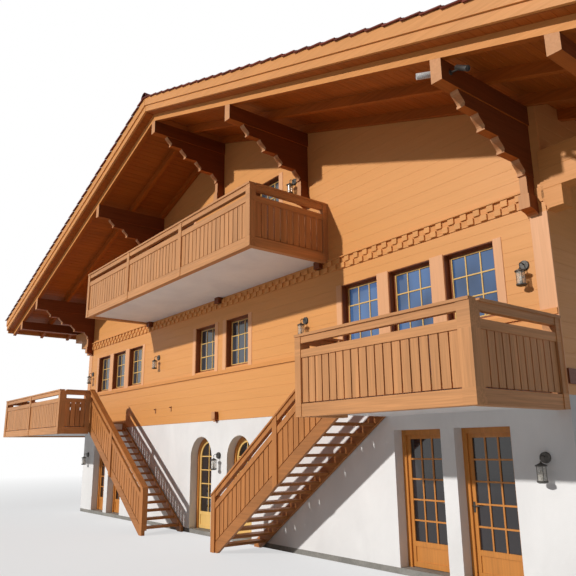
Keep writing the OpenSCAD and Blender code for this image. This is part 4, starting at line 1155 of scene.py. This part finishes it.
class CHALET_OT_small_fittings(bpy.types.Operator):
    """Fix the two short lamps at the end of the wall purlin, and the pegs and block under the windows"""
    bl_idname = "chalet.small_fittings"
    bl_label = "Small fittings"

    def execute(self, context):
        left = tube_lamp((8.61, -7.47, 7.09), (8.44, -7.63, 7.07), 0.045, (8.68, -7.45, 7.08))
        right = tube_lamp((8.97, -7.42, 7.02), (9.19, -7.5, 6.86), 0.04, (8.86, -7.42, 7.0))
        # Painted shade: the two lamps are alike, but the right one, which stands in shade, takes the dark
        # iron finish and the left one the pale paint
        complete(left, "purlin_lamp_left", "painted lamps", smooth=35)
        complete(right, "purlin_lamp_right", "forged iron", smooth=35)
        parts = []
        for x, z in PEG_PLACES:
            parts.append(block((x - 0.022, FRONT_Y - 0.03, z - 0.07),
                               (x + 0.022, FRONT_Y + 0.01, z + 0.07), 0.006, 2))
            peg = rod((x, FRONT_Y - 0.02, z + 0.03), (x, FRONT_Y - 0.075, z + 0.045), 0.014, 16)
            parts.append(chamfer(peg, 0.004, 2))
        low = block((-0.21, FRONT_Y - 0.12, 2.75), (-0.05, FRONT_Y + SEAT, 2.93), 0.008, 2)
        open_faces(low, DOWN)
        bpy.ops.mesh.inset(thickness=0.03)
        extrude((0, 0.02, -0.05))
        close()
        complete(join([*parts, low]), "wall_pegs", "roof timber Y", smooth=35)
        return {"FINISHED"}


class StudioSettings(bpy.types.PropertyGroup):
    key: measure("Key light", "Strength of the key light", 2.8, 0, 10, "NONE")
    ambient: measure("Fill light", "Strength of the even light from all round", 0.15, 0, 2, "NONE")
    softness: measure("Softness", "Apparent size of the key light", math.radians(1.5), 0, 1, "ANGLE")


SUNLIGHT = (0.192, 0.892, -0.409)
CAMERA_PLACE = (13.38, -13.85, 2.07)
CAMERA_TURN = [math.radians(angle) for angle in (51.767, 14.299, -0.665)]
FOCUS_PIXELS, WIDTH_PIXELS, SENSOR = 622.85, 576, 36


class CHALET_OT_stage(bpy.types.Operator):
    """Lay the floor, set the lights and place the camera"""
    bl_idname = "chalet.stage"
    bl_label = "Stage"

    def execute(self, context):
        scene = context.scene
        settings = scene.chalet_studio
        scene.view_settings.view_transform = "Standard"
        reach, fade_start, fade_end = 160, 14.0, 40.0
        focus()
        bpy.ops.mesh.primitive_circle_add(
            vertices=96, radius=reach, fill_type="NGON", location=(0, 0, -HAIR))
        floor = settle(bpy.context.object)
        floor.name = "studio_floor"
        finish = Finish("studio floor", {"Roughness": 0.9, "Specular IOR Level": 0.0})
        finish.feed("Base Color", finish.mix(finish.noise(0.2, 2.0), (0.6, 0.6, 0.61), (0.66, 0.66, 0.67)))
        away = finish.add("ShaderNodeVectorMath", {"operation": "LENGTH"}, {0: finish.place}, "Value")
        fade = finish.spread(away, fade_start, fade_end, 0.6, 1.0)
        finish.show_whitened(finish.shader, "ShaderNodeEmission", fade * finish.in_view())
        floor.data.materials.append(MATERIALS["studio floor"])

        world = scene.world = bpy.data.worlds.new("studio")
        world.use_nodes = True
        sky = Nodes(world.node_tree, "ShaderNodeOutputWorld")
        lit = sky.add("ShaderNodeBackground", {}, {0: (0.84, 0.92, 1), 1: settings.ambient})
        sky.show_whitened(lit, "ShaderNodeBackground", sky.in_view())

        key = bpy.data.lights.new("key light", "SUN")
        key.energy = settings.key
        key.angle = settings.softness
        key.color = (1, 0.975, 0.94)
        lamp = bpy.data.objects.new("key light", key)
        scene.collection.objects.link(lamp)
        lamp.rotation_mode = "QUATERNION"
        lamp.rotation_quaternion = Vector(SUNLIGHT).to_track_quat("-Z", "Y")

        yaw, pitch, roll = CAMERA_TURN
        forward = Vector((-math.sin(yaw) * math.cos(pitch), math.cos(yaw) * math.cos(pitch),
                          math.sin(pitch)))
        right = Vector((math.cos(yaw), math.sin(yaw), 0))
        up = right.cross(forward)
        turned_right = right * math.cos(roll) + up * math.sin(roll)
        turned_up = up * math.cos(roll) - right * math.sin(roll)
        data = bpy.data.cameras.new("camera")
        data.sensor_fit = "HORIZONTAL"
        data.sensor_width = SENSOR
        data.lens = FOCUS_PIXELS / WIDTH_PIXELS * SENSOR
        data.clip_end = 500
        camera = bpy.data.objects.new("camera", data)
        scene.collection.objects.link(camera)
        turn = Matrix((turned_right, turned_up, -forward)).transposed().to_4x4()
        camera.matrix_world = Matrix.Translation(CAMERA_PLACE) @ turn
        scene.camera = camera
        return {"FINISHED"}


class CHALET_PT_panel(bpy.types.Panel):
    bl_label = "Chalet"
    bl_idname = "CHALET_PT_panel"
    bl_space_type = "VIEW_3D"
    bl_region_type = "UI"
    bl_category = "Chalet"

    def draw(self, context):
        for group in GROUPS:
            settings = getattr(context.scene, group)
            box = self.layout.box()
            for key in settings.__annotations__:
                box.prop(settings, key)
        for operator in OPERATORS:
            self.layout.operator(operator.bl_idname)


GROUPS = {
    "chalet_colours": HouseColours,
    "chalet_roof_tiles": RoofTileSizes,
    "chalet_soffit": SoffitSizes,
    "chalet_wall_boards": WallBoardSizes,
    "chalet_deck": DeckSizes,
    "chalet_frieze": FriezeSizes,
    "chalet_glazing": GlazingSizes,
    "chalet_lanterns": LanternSizes,
    "chalet_studio": StudioSettings,
}
OPERATORS = [
    CHALET_OT_finishes, CHALET_OT_roof_tiles, CHALET_OT_soffit, CHALET_OT_wall_boards,
    CHALET_OT_casings, CHALET_OT_deck_boards, CHALET_OT_corbel_faces, CHALET_OT_frieze,
    CHALET_OT_glazing, CHALET_OT_lanterns, CHALET_OT_door_furniture,
    CHALET_OT_small_fittings, CHALET_OT_stage,
]


def register():
    for cls in (*GROUPS.values(), *OPERATORS, CHALET_PT_panel):
        bpy.utils.register_class(cls)
    for name, cls in GROUPS.items():
        setattr(bpy.types.Scene, name, bpy.props.PointerProperty(type=cls))


def unregister():
    for name in GROUPS:
        delattr(bpy.types.Scene, name)
    for cls in (CHALET_PT_panel, *reversed(OPERATORS), *reversed(list(GROUPS.values()))):
        bpy.utils.unregister_class(cls)


def main():
    register()
    bpy.ops.chalet.finishes()
    bpy.ops.chalet.roof_tiles()
    bpy.ops.chalet.soffit()
    bpy.ops.chalet.wall_boards()
    bpy.ops.chalet.casings()
    bpy.ops.chalet.deck_boards()
    bpy.ops.chalet.corbel_faces()
    bpy.ops.chalet.frieze()
    bpy.ops.chalet.glazing()
    bpy.ops.chalet.lanterns()
    bpy.ops.chalet.door_furniture()
    bpy.ops.chalet.small_fittings()
    bpy.ops.chalet.stage()


if __name__ == "__main__":
    main()
